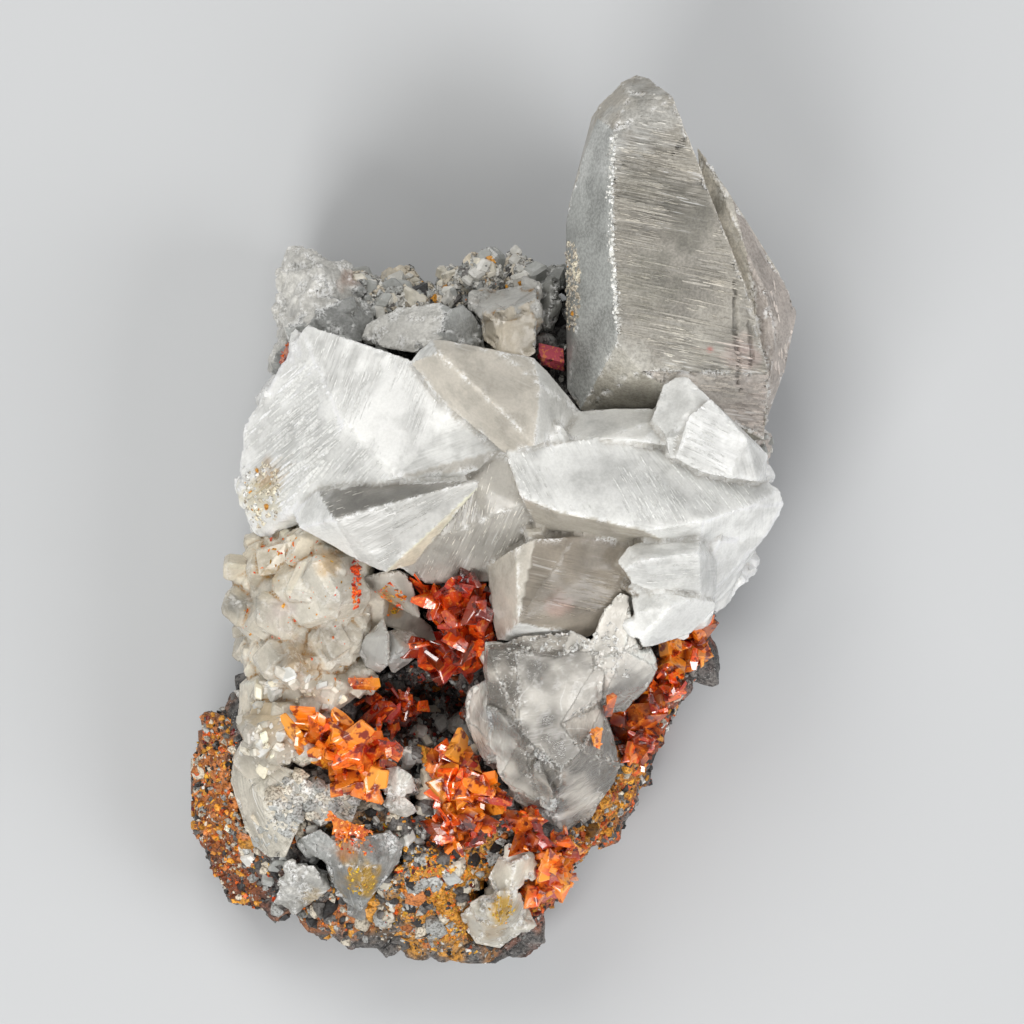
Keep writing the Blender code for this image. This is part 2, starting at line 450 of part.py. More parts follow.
# The rock: a few angular blocks grown together, which reach below the back and are cut flat there
ROCK_BLOCKS = {
    "middle": rooted([
        (30, 33, 16), (42, 34.5, 16), (56, 34, 15), (61, 43, 14.5), (69, 47, 14.5), (70, 56, 14.5),
        (66, 64, 14.5), (56, 70, 16), (40, 70, 15), (29, 64, 15), (27.5, 48, 14.5),
    ], ROCK_DEPTH, 0.92),
    "lower left": rooted([
        (25, 67.2, 13), (30, 69, 17), (34.5, 76, 17), (33, 85, 17), (30, 91.2, 12), (26.8, 91.2, 9.5),
        (24.4, 90.8, 9), (22.6, 90, 9), (21.9, 87.6, 10), (20.7, 83.2, 11), (19.8, 80.6, 11),
        (18.9, 78.6, 11), (19.2, 76.6, 12), (19.8, 74.2, 13), (21.4, 73.4, 13.5), (23.6, 71.2, 13),
        (26, 80, 16.5),
    ], ROCK_DEPTH, 0.9),
    "foot": rooted([
        (30, 86, 16), (30.2, 92.2, 10), (33.6, 93.7, 9.5), (35.7, 92.6, 12), (40, 93.7, 12),
        (44.6, 95.8, 9.5), (48.7, 96.7, 8), (50.3, 96.1, 8), (52, 94.4, 9), (54.6, 91, 10.5),
        (56, 88.5, 11), (56.5, 82, 16), (50, 79, 17.5), (40, 80, 18), (34, 82, 17.5), (43, 89, 18),
    ], ROCK_DEPTH, 0.88),
    "lower right": rooted([
        (54.5, 90, 10.5), (56.2, 86.8, 11), (57.7, 86.6, 10.5), (60, 83.6, 10.5), (61.8, 81.2, 10.5),
        (63.8, 78.2, 10.5), (64.3, 75.5, 11), (60, 74, 16), (54, 79, 17), (53, 85, 17),
    ], ROCK_DEPTH, 0.88),
    "right edge": rooted([
        (64, 78, 10.5), (65, 74.2, 11), (66.2, 70.6, 11), (68.4, 67.6, 11), (70.2, 66.2, 11),
        (70.6, 64, 12), (71.5, 61.2, 12), (69, 59, 15), (62, 64, 16), (59, 72, 16), (60, 78, 13.5),
    ], ROCK_DEPTH, 0.88),
    "pocket floor": rooted([
        (33, 67, 15), (44, 63, 16), (52, 64, 15.5), (61, 68, 15), (61, 80, 13.5), (54, 84, 16),
        (42, 84, 17), (34, 82, 16.5), (42, 76, 18.5),
    ], ROCK_DEPTH, 0.95),
    "upper left ridge": rooted([
        (35.2, 28.1, 14.5), (36, 27.7, 14.5), (37.4, 28.9, 15), (40.5, 29.1, 15), (41.5, 29.7, 16),
        (43.2, 29.4, 16), (42, 35, 19), (36, 34.5, 19), (30, 35, 17), (30, 30, 15),
    ], ROCK_DEPTH, 0.9),
    "upper ridge": rooted([
        (42.8, 29.5, 16), (45.2, 28.1, 14.5), (48.1, 27.8, 14.5), (49.7, 28.6, 15), (53.5, 27.9, 14.5),
        (54.5, 28.3, 16), (54, 35, 19), (42, 35, 19),
    ], ROCK_DEPTH, 0.9),
    "under the large crystal": rooted([
        (52, 30, 16), (55.6, 30, 17), (60, 34, 16), (64, 43, 15), (56, 44, 15), (50, 36, 17.5),
    ], ROCK_DEPTH, 0.9),
    "under the right wedge": rooted([
        (60, 42, 15), (68, 43, 15), (73.5, 47, 14.5), (74.2, 52, 13.5), (71.2, 58, 13.5), (64, 59, 15),
    ], ROCK_DEPTH, 0.82),
    "under the druse": rooted([
        (25.8, 56, 12), (30, 54, 16), (35, 56, 17.5), (36, 70, 17), (27, 70, 14.5), (25, 64, 11),
    ], ROCK_DEPTH, 0.9),
}

# The open pocket between the druse and the clear crystal, in two steps
POCKET = {
    "main": [
        (38.4, 68.4, 26), (43, 66, 26), (47.6, 65, 26), (48.2, 70, 26), (48.4, 75.6, 26), (44, 76.4, 26),
        (39.6, 73.5, 26), (40, 70, 9.5), (44, 68, 8), (47, 67.5, 8), (47.2, 74, 9), (43, 74.8, 9.5),
    ],
    "lower": [
        (39.6, 75.8, 26), (42.8, 75.2, 26), (43.6, 80, 26), (40.4, 79.2, 26), (40.8, 76.4, 13.5),
        (42.4, 76.4, 13), (42.8, 79, 13.5), (41.2, 78.6, 13.5),
    ],
}

# Realgar prisms that stand alone
LONE_REALGAR = {
    "realgar_prism_under_large_crystal": blade((58, 36.4, 18.5), (53.2, 35.2, 21), 2.4, 2.1, 15),
    "realgar_prism_left_edge": blade((28.4, 36.4, 16), (29.7, 33.5, 22), 1.2, 1, 0),
    "realgar_prism_on_druse": blade((37.8, 68.4, 21), (34.7, 68.3, 23), 1.4, 1.3, 20),
    "realgar_prism_on_clear_crystal": blade((60.5, 71.3, 25), (61.1, 69.3, 27.5), 1.4, 1.3, 10),
    "realgar_tuft_on_clear_crystal": blade((59.3, 74.7, 25.5), (59.6, 72.7, 28.5), 1.4, 1.1, 0),
    "realgar_ribbon_lower_left": blade((38.5, 84.6, 20.5), (32.6, 82.2, 21.5), 1.9, 1.4, 10),
}

# Colours as linear values, with roughness
WHITE_CALCITE = ("white_calcite", (0.80, 0.80, 0.77), 0.3)
GREY_CALCITE = ("grey_calcite", (0.42, 0.41, 0.38), 0.3)
CLEAR_CALCITE = ("clear_calcite", (0.60, 0.61, 0.58), 0.1)
CREAM_CALCITE = ("cream_calcite", (0.72, 0.69, 0.62), 0.35)
SMOKY_CALCITE = ("smoky_calcite", (0.16, 0.15, 0.14), 0.3)
REALGAR = ("realgar", (0.55, 0.07, 0.01), 0.15)
ROCK = ("rock", (0.17, 0.16, 0.15), 0.8)

# In this order, each group keeps its shape and those after it give way to it
GROUPS = [
    ("large_calcite_crystal", LARGE_CRYSTAL, GREY_CALCITE),
    ("white_calcite_cluster", WHITE_CLUSTER, WHITE_CALCITE),
    ("clear_calcite_crystal", CLEAR_CRYSTAL, CLEAR_CALCITE),
    ("upper_left_calcite", UPPER_LEFT_CALCITE, GREY_CALCITE),
    ("sugary_calcite", SUGARY_CRYSTAL, GREY_CALCITE),
    ("blocky_calcite", BLOCKY_CRYSTAL, CREAM_CALCITE),
    ("smoky_calcite", SMOKY_CRYSTAL, SMOKY_CALCITE),
    ("fibrous_calcite_slab", FIBROUS_SLAB, WHITE_CALCITE),
    ("grey_calcite_tooth", GREY_CRYSTAL, GREY_CALCITE),
    ("small_grey_calcite", SMALL_GREY_CRYSTAL, GREY_CALCITE),
    ("lower_right_calcite", LOWER_RIGHT_CALCITE, WHITE_CALCITE),
    ("lower_left_calcite", LOWER_LEFT_CALCITE, GREY_CALCITE),
    ("realgar_top_cluster", REALGAR_TOP, REALGAR),
    ("realgar_pocket_cluster", REALGAR_POCKET, REALGAR),
    ("realgar_left_cluster", REALGAR_LEFT, REALGAR),
    ("realgar_centre_cluster", REALGAR_CENTRE, REALGAR),
    ("realgar_lower_cluster", REALGAR_LOWER, REALGAR),
    ("realgar_spray", REALGAR_SPRAY, REALGAR),
    ("realgar_lower_right_cluster", REALGAR_LOWER_RIGHT, REALGAR),
    ("realgar_right_edge_cluster", REALGAR_RIGHT_EDGE, REALGAR),
    ("realgar_upper_right_cluster", REALGAR_UPPER_RIGHT, REALGAR),
]
GROUPS += [(name, {"prism": prism}, REALGAR) for name, prism in LONE_REALGAR.items()]
GROUPS += [
    ("dog_tooth_calcite", DOG_TEETH, CLEAR_CALCITE),
    ("calcite_druse", LEFT_DRUSE, CREAM_CALCITE),
]

# Groups whose crystals each have their own seat in the rock
WELL_SPREAD = ("white_calcite_cluster", "clear_calcite_crystal", "upper_left_calcite", "fibrous_calcite_slab")


def placed(corner):
    """A corner's place in the part's frame, still in millimetres."""
    right, down, height = corner
    return Vector((right - DATUM_RIGHT, DATUM_DOWN - down, height))


def hull(corners, grow=0.0):
    """A mesh of the convex body around some corners, grown outwards on request."""
    shape = bmesh.new()
    for corner in corners:
        shape.verts.new(placed(corner))
    result = bmesh.ops.convex_hull(shape, input=shape.verts)
    inner = set(result["geom_interior"]) | set(result["geom_unused"])
    bmesh.ops.delete(shape, geom=[v for v in inner if isinstance(v, bmesh.types.BMVert)], context="VERTS")
    bmesh.ops.recalc_face_normals(shape, faces=shape.faces)
    if grow:
        shape.normal_update()
        for vert, normal in [(vert, vert.normal.copy()) for vert in shape.verts]:
            vert.co += normal * grow * vert.calc_shell_factor()
    bmesh.ops.dissolve_limit(shape, angle_limit=FLAT, verts=shape.verts, edges=shape.edges)
    mesh = bpy.data.meshes.new("hull")
    shape.to_mesh(mesh)
    shape.free()
    return mesh


def combined(body, tools, operation):
    """The body's mesh joined with the tools, or cut by them, all at once."""
    if not tools:
        return body
    scene = bpy.context.scene.collection
    helpers = bpy.data.collections.new("helpers")
    scene.children.link(helpers)
    for tool in tools:
        helpers.objects.link(bpy.data.objects.new("helper", tool))
    target = bpy.data.objects.new("target", body)
    scene.objects.link(target)
    boolean = target.modifiers.new("Boolean", "BOOLEAN")
    boolean.operation = operation
    boolean.solver = "EXACT"
    boolean.operand_type = "COLLECTION"
    boolean.collection = helpers
    depsgraph = bpy.context.evaluated_depsgraph_get()
    mesh = bpy.data.meshes.new_from_object(target.evaluated_get(depsgraph))
    for helper in list(helpers.objects) + [target]:
        bpy.data.objects.remove(helper)
    bpy.data.collections.remove(helpers)
    return mesh


def islands(shape):
    """The separate bodies of a mesh, each as a list of its faces."""
    unseen = set(shape.faces)
    bodies = []
    while unseen:
        front = [unseen.pop()]
        body = []
        while front:
            face = front.pop()
            body.append(face)
            whole = [edge for edge in face.edges if edge.is_manifold]
            joined = {other for edge in whole for other in edge.link_faces} & unseen
            unseen -= joined
            front.extend(joined)
        bodies.append(body)
    return bodies


def volume(faces):
    """The volume inside some closed faces."""
    total = 0.0
    for face in faces:
        corners = [loop.vert.co for loop in face.loops]
        for second, third in zip(corners[1:], corners[2:]):
            total += corners[0].dot(second.cross(third)) / 6
    return total


def cleaned(mesh):
    """The largest body of a mesh as triangles, without as many of its tiny edges as it can lose."""
    shape = bmesh.new()
    shape.from_mesh(mesh)
    bodies = sorted(islands(shape), key=volume)
    spare = [face for body in bodies[:-1] for face in body]
    bmesh.ops.delete(shape, geom=spare, context="FACES")
    for shortest in SHORTEST_EDGES:
        trial = shape.copy()
        bmesh.ops.remove_doubles(trial, verts=trial.verts, dist=shortest)
        bmesh.ops.dissolve_degenerate(trial, edges=trial.edges, dist=shortest)
        bmesh.ops.dissolve_limit(trial, angle_limit=FLAT, verts=trial.verts, edges=trial.edges)
        bmesh.ops.triangulate(trial, faces=trial.faces)
        closed = all(edge.is_manifold for edge in trial.edges)
        if closed and len(islands(trial)) == 1:
            break
        trial.free()
    trial.to_mesh(mesh)
    trial.free()
    shape.free()
    return mesh


def box_of(corners):
    """The lowest and highest corner of a box around some corners."""
    points = [placed(corner) for corner in corners]
    low = Vector(min(point[axis] for point in points) for axis in range(3))
    high = Vector(max(point[axis] for point in points) for axis in range(3))
    return low, high


def near(first, second):
    """Whether two crystals' boxes come within a few gaps of each other."""
    (low, high), (other_low, other_high) = box_of(first), box_of(second)
    return all(low[a] - NEARBY < other_high[a] and other_low[a] - NEARBY < high[a] for a in range(3))


def crystal_group(shapes, neighbours):
    """Crystals grown together as one mesh, kept a gap away from the neighbours that have their place."""
    first, *others = [hull(corners) for corners in shapes.values()]
    body = combined(first, others, "UNION")
    every = [corner for corners in shapes.values() for corner in corners]
    cutters = [hull(corners, GAP) for corners in neighbours if near(corners, every)]
    return cleaned(combined(body, cutters, "DIFFERENCE"))


def seats_of(name, shapes):
    """The bodies that a group takes from the rock: each of its crystals, or one body around all of them."""
    if name in WELL_SPREAD:
        return list(shapes.values())
    return [[corner for corners in shapes.values() for corner in corners]]


def chips(rock):
    """Small angular chips of rock over the part of it that no crystal covers."""
    surface = bmesh.new()
    surface.from_mesh(rock)
    tree = BVHTree.FromBMesh(surface)
    surface.free()
    spots = random.Random(7)
    found = {}
    while len(found) < CHIP_COUNT:
        right, down = spots.uniform(*CHIP_RIGHT), spots.uniform(*CHIP_DOWN)
        top, *_ = tree.ray_cast(placed((right, down, SKY)), Vector((0, 0, -1)))
        if top is None:
            continue
        size = spots.uniform(*CHIP_SIZES)
        turn = [spots.uniform(0, 90) for _ in range(3)]
        stretch = spots.uniform(*CHIP_STRETCH)
        found[f"chip {len(found)}"] = tooth((right, down, top.z - CHIP_SINK * size), size, turn, stretch)
    return found


def rock_mesh(neighbours):
    """The rock: its blocks and chips as one body, cut by the pocket, the crystals and the flat rest face."""
    first, *others = [hull(corners) for corners in ROCK_BLOCKS.values()]
    body = combined(first, others, "UNION")
    body = combined(body, [hull(corners) for corners in chips(body).values()], "UNION")
    below = [(right, down, height) for right in SHEET for down in SHEET for height in (-SKY, 0)]
    cutters = [hull(below)] + [hull(corners) for corners in POCKET.values()]
    cutters += [hull(corners, GAP) for corners in neighbours]
    return cleaned(combined(body, cutters, "DIFFERENCE"))


def material(name, colour, roughness):
    """A plain material."""
    finish = bpy.data.materials.new(name)
    finish.use_nodes = True
    shader = finish.node_tree.nodes["Principled BSDF"]
    shader.inputs["Base Color"].default_value = (*colour, 1.0)
    shader.inputs["Roughness"].default_value = roughness
    shader.inputs["Metallic"].default_value = 0.0
    return finish


def node(name, mesh, finish, collection):
    """One named sub-part with its own material."""
    mesh.name = name
    mesh.materials.clear()
    mesh.materials.append(material(*finish))
    thing = bpy.data.objects.new(name, mesh)
    collection.objects.link(thing)
    return thing


def centre(things):
    """Turns millimetres into metres, with the origin under the middle of the whole specimen's box."""
    points = [vert.co for thing in things for vert in thing.data.vertices]
    low = Vector(min(point[axis] for point in points) for axis in range(3))
    high = Vector(max(point[axis] for point in points) for axis in range(3))
    middle = (low + high) / 2
    middle.z = low.z
    for thing in things:
        thing.data.transform(Matrix.Scale(METRES, 4) @ Matrix.Translation(-middle))


def build():
    for thing in list(bpy.data.objects):
        bpy.data.objects.remove(thing)
    collection = bpy.data.collections.new("calcite_specimen")
    bpy.context.scene.collection.children.link(collection)
    taken = []
    seats = []
    things = []
    for name, shapes, finish in GROUPS:
        things.append(node(name, crystal_group(shapes, taken), finish, collection))
        taken.extend(shapes.values())
        seats.extend(seats_of(name, shapes))
    things.append(node("rock", rock_mesh(seats), ROCK, collection))
    centre(things)


build()
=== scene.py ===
# %% [markdown]
# # A calcite specimen with realgar
#
# The packed CAD model gives the size and the place of every crystal. This file dresses it: each calcite
# gets thousands of small faces with growth steps and chipped edges, the realgar gets sharp glossy prisms,
# and the rock gets its crumbs. The cells are read from top to bottom. Each one prints what it made.

import math

import bmesh
import bpy
import numpy as np
from mathutils import Matrix, Vector
from mathutils.bvhtree import BVHTree
from mathutils.kdtree import KDTree


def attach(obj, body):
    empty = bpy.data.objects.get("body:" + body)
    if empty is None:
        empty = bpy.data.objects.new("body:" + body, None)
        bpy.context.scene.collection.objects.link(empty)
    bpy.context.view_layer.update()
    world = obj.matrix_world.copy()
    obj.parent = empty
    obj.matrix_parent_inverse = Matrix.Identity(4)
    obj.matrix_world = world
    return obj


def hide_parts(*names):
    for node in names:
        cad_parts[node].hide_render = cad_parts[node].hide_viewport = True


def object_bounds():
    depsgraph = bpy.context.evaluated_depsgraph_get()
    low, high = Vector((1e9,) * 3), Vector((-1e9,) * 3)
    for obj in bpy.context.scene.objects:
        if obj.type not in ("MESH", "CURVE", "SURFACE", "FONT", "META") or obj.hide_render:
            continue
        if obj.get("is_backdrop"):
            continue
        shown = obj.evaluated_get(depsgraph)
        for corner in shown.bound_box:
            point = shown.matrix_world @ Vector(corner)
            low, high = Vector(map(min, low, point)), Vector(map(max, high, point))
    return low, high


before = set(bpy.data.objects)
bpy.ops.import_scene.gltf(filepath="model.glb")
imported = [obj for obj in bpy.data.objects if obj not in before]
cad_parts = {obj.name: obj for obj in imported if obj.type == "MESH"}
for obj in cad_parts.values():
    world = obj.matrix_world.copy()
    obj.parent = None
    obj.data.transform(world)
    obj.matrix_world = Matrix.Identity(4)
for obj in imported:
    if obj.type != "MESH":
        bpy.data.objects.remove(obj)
cad_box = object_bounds()
print("solids in the packed model:", len(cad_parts))

# %% [markdown]
# ## One sheet of millimetres
#
# The specimen lies on its flat back, and the camera looks down on it. Every place is therefore given as
# on a sheet of paper: so far right, so far down, and so high above the table, all in millimetres.

# %% The sheet
MM = 0.001
# where the middle of the model's box lies on the sheet, and a height that nothing reaches
SHEET_RIGHT = 49.3
SHEET_DOWN = 52.1
SKY = 90
DOWN = Vector((0, 0, -1))


def at(right, down, height):
    """A place on the sheet, in metres in the model's frame."""
    return Vector(((right - SHEET_RIGHT) * MM, (SHEET_DOWN - down) * MM, height * MM))


def linear(red, green, blue):
    """A colour given on a 0 to 255 scale, as the linear values that shaders use."""
    scaled = np.array([red, green, blue]) / 255
    return np.where(scaled < 0.04045, scaled / 12.92, ((scaled + 0.055) / 1.055) ** 2.4)


print("one corner of the sheet is", tuple(round(part, 4) for part in at(0, 0, 0)))
print("rays start", SKY, "mm up, and the specimen is", round(cad_box[1][2] / MM, 1), "mm high")

# %% [markdown]
# ## Camera and studio
#
# A long lens from far away keeps the proportions of a small object, where a near one would make the tall
# crystals too large. The camera looks straight down, and its picture is as wide as the sheet of
# millimetres.

# %% The camera
# the lens is chosen so that the picture is VIEW_WIDTH wide at VIEW_HEIGHT above the table
VIEW_RIGHT = 51.2
VIEW_DOWN = 51.2
VIEW_WIDTH = 102.4
VIEW_HEIGHT = 20.0
CAMERA_DISTANCE = 1.6
SENSOR = 36.0

camera = bpy.data.objects.new("camera", bpy.data.cameras.new("camera"))
camera.location = at(VIEW_RIGHT, VIEW_DOWN, VIEW_HEIGHT) + Vector((0, 0, CAMERA_DISTANCE))
camera.data.sensor_width = SENSOR
camera.data.lens = SENSOR * CAMERA_DISTANCE / (VIEW_WIDTH * MM)
camera.data.clip_end = 10
bpy.context.scene.collection.objects.link(camera)
bpy.context.scene.camera = camera
print("lens", round(camera.data.lens), "mm")

# %% [markdown]
# ### Three soft boxes
#
# The key light from the upper left gives the bright upper edges and the dark lower ones. A side light
# from the right and a front light from the lower left keep the shadows open. Area lights give soft
# shadows, where a spot or a sun would cut hard ones into every crumb. All three point at the middle of
# the specimen, and the grey world fills the rest.

# %% The soft boxes
WORLD_GREY = (0.80, 0.80, 0.80, 1)
WORLD_STRENGTH = 0.40

# place in metres, size, power in watts, colour
LIGHTS = {
    "key": ((-0.18, 0.38, 0.54), 0.34, 2.1, (1.0, 0.99, 0.965)),
    "side": ((0.44, -0.12, 0.42), 0.34, 1.7, (0.99, 0.99, 1.0)),
    "front": ((-0.20, -0.38, 0.46), 0.30, 2.4, (1.0, 0.995, 0.98)),
}
for name, (place, size, power, colour) in LIGHTS.items():
    lamp = bpy.data.lights.new(name, "AREA")
    lamp.size = size
    lamp.energy = power
    lamp.color = colour
    box = bpy.data.objects.new(name, lamp)
    box.location = place
    box.rotation_euler = (-Vector(place)).to_track_quat("-Z", "Y").to_euler()
    bpy.context.scene.collection.objects.link(box)
    print(name, "light of", power, "W")

world = bpy.data.worlds.new("studio")
world.use_nodes = True
world.node_tree.nodes["Background"].inputs["Color"].default_value = WORLD_GREY
world.node_tree.nodes["Background"].inputs["Strength"].default_value = WORLD_STRENGTH
bpy.context.scene.world = world
bpy.context.scene.view_settings.view_transform = "Standard"

# %% [markdown]
# ## Shader sums written as sums
#
# A node tree is easier to read when a sum looks like a sum. The class below wraps one output socket, and
# each operator adds a Math node. Every other node comes from one method that takes its type, its settings
# and its sockets.

# %% A wire and a board of nodes
class Wire:
    """One output socket, with arithmetic."""

    def __init__(self, board, socket):
        self.board = board
        self.socket = socket

    def sum_with(self, operation, first, second):
        return self.board.node("ShaderNodeMath", {"operation": operation}, {0: first, 1: second})

    def __add__(self, other):
        return self.sum_with("ADD", self, other)

    def __rsub__(self, other):
        return self.sum_with("SUBTRACT", other, self)

    def __mul__(self, other):
        return self.sum_with("MULTIPLY", self, other)

    __radd__ = __add__
    __rmul__ = __mul__

    def between(self, low, high):
        """0 up to low, 1 from high on, and smooth in between."""
        limits = {"Value": self, "From Min": low, "From Max": high}
        return self.board.node("ShaderNodeMapRange", {"interpolation_type": "SMOOTHSTEP"}, limits)


class Board:
    """One material, and the nodes on it."""

    def __init__(self, name):
        self.material = bpy.data.materials.new(name)
        self.material.use_nodes = True
        self.tree = self.material.node_tree
        self.tree.nodes.clear()

    def node(self, kind, settings=None, sockets=None, output=0):
        """Adds a node, sets it up, joins its sockets and gives back one output as a wire."""
        made = self.tree.nodes.new(kind)
        for key, value in (settings or {}).items():
            setattr(made, key, value)
        for key, value in (sockets or {}).items():
            if isinstance(value, Wire):
                self.tree.links.new(value.socket, made.inputs[key])
            else:
                made.inputs[key].default_value = value
        return Wire(self, made.outputs[output]) if made.outputs else None

    def mixed(self, factor, first, second, blend="MIX"):
        """Two colours mixed."""
        settings = {"data_type": "RGBA", "blend_type": blend}
        return self.node("ShaderNodeMix", settings, {0: factor, 6: first, 7: second}, 2)

    def tinted(self, colour, tint):
        """A colour multiplied by another one."""
        return self.mixed(1.0, colour, tint, "MULTIPLY")

    def stretched(self, vector, scale):
        """A vector with each of its parts multiplied."""
        return self.node("ShaderNodeVectorMath", {"operation": "MULTIPLY"}, {0: vector, 1: scale})

    def noise(self, vector, scale, detail=3.0, roughness=0.6):
        sockets = {"Vector": vector, "Scale": scale, "Detail": detail, "Roughness": roughness}
        return self.node("ShaderNodeTexNoise", None, sockets)

    def attribute(self, name, output):
        return self.node("ShaderNodeAttribute", {"attribute_name": name}, None, output)

    def place(self):
        """Object coordinates, in millimetres."""
        place = self.node("ShaderNodeTexCoord", None, None, "Object")
        return self.stretched(place, (1 / MM,) * 3)

    def bump(self, height, strength, distance):
        """A normal that follows a height, with the depth of its relief in mm."""
        sockets = {"Strength": strength, "Distance": distance * MM, "Height": height}
        return self.node("ShaderNodeBump", None, sockets)

    def principled(self, sockets):
        return self.node("ShaderNodeBsdfPrincipled", None, sockets)

    def finish(self, shader):
        """Joins the shader to the output and gives back the material."""
        self.node("ShaderNodeOutputMaterial", None, {"Surface": shader})
        print("finish", self.material.name, "has", len(self.tree.nodes), "nodes")
        return self.material


print("a wire knows these sums:", [name for name in vars(Wire) if name.endswith(("add__", "sub__", "mul__"))])

# %% [markdown]
# ## Pale floor
#
# The specimen lies on a plain sheet of pale paper, far larger than itself, so that its edge is never
# seen. One flat face is enough for it.

# %% The floor
FLOOR_HALF = 1.5
PAPER_GREY = (0.50, 0.51, 0.52, 1)

sheet = bmesh.new()
bmesh.ops.create_grid(sheet, x_segments=1, y_segments=1, size=FLOOR_HALF)
floor_mesh = bpy.data.meshes.new("floor")
sheet.to_mesh(floor_mesh)
sheet.free()
floor = bpy.data.objects.new("floor", floor_mesh)
bpy.context.scene.collection.objects.link(floor)
paper = Board("paper")
floor_mesh.materials.append(paper.finish(paper.principled({"Base Color": PAPER_GREY, "Roughness": 0.6})))
floor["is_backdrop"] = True
print("floor is", 2 * FLOOR_HALF, "m wide")

# %% [markdown]
# ## Noise on points
#
# The growth steps and chips are real relief, so the same kind of noise is needed on mesh points as on
# shaders. A lattice of random numbers, blended smoothly, is the simplest one, and numpy works it out for
# all points of a crystal at once.

# %% Value noise
HASH = np.array([73856093, 19349663, 83492791])


def lattice(points, seed):
    """Smooth noise from -1 to 1, one value for each row of points."""
    corner = np.floor(points).astype(np.int64)
    part = points - corner
    part = part * part * (3 - 2 * part)
    total = np.zeros(len(points))
    for number in range(8):
        step = np.array([number & 1, number >> 1 & 1, number >> 2 & 1])
        mixed = (corner + step) @ HASH + seed * 7919
        mixed = (mixed ^ mixed >> 13) * 1274126177 & 0xFFFFFFF
        mixed = (mixed ^ mixed >> 11) * 668265263 & 0xFFFFFFF
        weight = np.prod(np.where(step, part, 1 - part), axis=1)
        total += weight * (mixed / 0x7FFFFFF - 1)
    return total


def rugged(points, seed, octaves=3):
    """Noise with finer and finer noise on it."""
    total = np.zeros(len(points))
    for octave in range(octaves):
        total += lattice(points * 2.1 ** octave, seed + octave) / 2 ** octave
    return total


def ramp(values, low, high):
    """0 up to low, 1 from high on, and smooth in between."""
    part = np.clip((values - low) / (high - low), 0, 1)
    return part * part * (3 - 2 * part)


print("noise of one point:", round(float(rugged(np.array([[0.3, 1.7, 2.2]]), 5)[0]), 3))

# %% [markdown]
# ## Fine copies of the solids
#
# A CAD crystal has a few large flat faces. To carve steps into them it needs many small even ones. A
# voxel remesh gives those but rounds the edges, so each point is then put back on the nearest flat face
# of the solid. The flat faces are found by walking over the solid's triangles while they bend less than a
# few degrees.

# %% Merged solid, flat faces and edges
FLAT_BEND = math.cos(math.radians(12))
EDGE_BEND = math.radians(18)
EDGE_SPACING = 0.25 * MM
SHARP_BEND = math.radians(28)


def merged_solid(node):
    """The node's mesh with its loose triangles joined."""
    solid = bmesh.new()
    solid.from_mesh(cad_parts[node].data)
    bmesh.ops.remove_doubles(solid, verts=solid.verts, dist=1e-7)
    solid.faces.ensure_lookup_table()
    solid.normal_update()
    return solid


def flat_faces(solid):
    """The number of the flat face that each triangle belongs to, and each flat face's normal and centre."""
    owner = np.full(len(solid.faces), -1)
    normals, centres = [], []
    for start in sorted(solid.faces, key=lambda face: -face.calc_area()):
        if owner[start.index] >= 0:
            continue
        waiting = [start]
        owner[start.index] = len(normals)
        normal, centre, area = Vector(), Vector(), 0.0
        while waiting:
            face = waiting.pop()
            normal += face.normal * face.calc_area()
            centre += face.calc_center_median() * face.calc_area()
            area += face.calc_area()
            for edge in face.edges:
                for other in edge.link_faces:
                    if owner[other.index] < 0 and other.normal.dot(face.normal) > FLAT_BEND:
                        owner[other.index] = len(normals)
                        waiting.append(other)
        normals.append(normal.normalized())
        centres.append(centre / max(area, 1e-12))
    return owner, np.array(normals), np.array(centres)


def edge_points(solid):
    """Points along the solid's outward edges, for measuring how near a point is to one."""
    found = []
    for edge in solid.edges:
        if len(edge.link_faces) == 2 and edge.calc_face_angle_signed(0) > EDGE_BEND:
            first, second = (vert.co for vert in edge.verts)
            steps = max(1, int(edge.calc_length() / EDGE_SPACING))
            found += [first.lerp(second, step / steps) for step in range(steps + 1)]
    tree = KDTree(max(1, len(found)))
    for number, point in enumerate(found or [Vector((0, 0, 9))]):
        tree.insert(point, number)
    tree.balance()
    return tree


solid = merged_solid("rock")
print("the rock has", len(solid.faces), "triangles and", len(flat_faces(solid)[1]), "flat faces")
solid.free()

# %% [markdown]
# ### A fine copy that knows its flat faces
#
# The copy keeps, for each of its points, the flat face it lies on, how far it is from an edge, and
# whether it sits in a crease between two crystals. Numpy arrays hold these, so that whatever comes next
# is worked out for all points at once. Small crystals can be fused to the solid before the remesh, which
# makes real seams.

# %% A fine copy that knows its flat faces
FIELDS = {"FLOAT": "value", "FLOAT_VECTOR": "vector", "FLOAT_COLOR": "color"}


def write(mesh, name, kind, values):
    """Writes one value for each point of a mesh as an attribute."""
    layer = mesh.attributes.new(name, kind, "POINT")
    layer.data.foreach_set(FIELDS[kind], np.ascontiguousarray(values, dtype=np.float32).ravel())


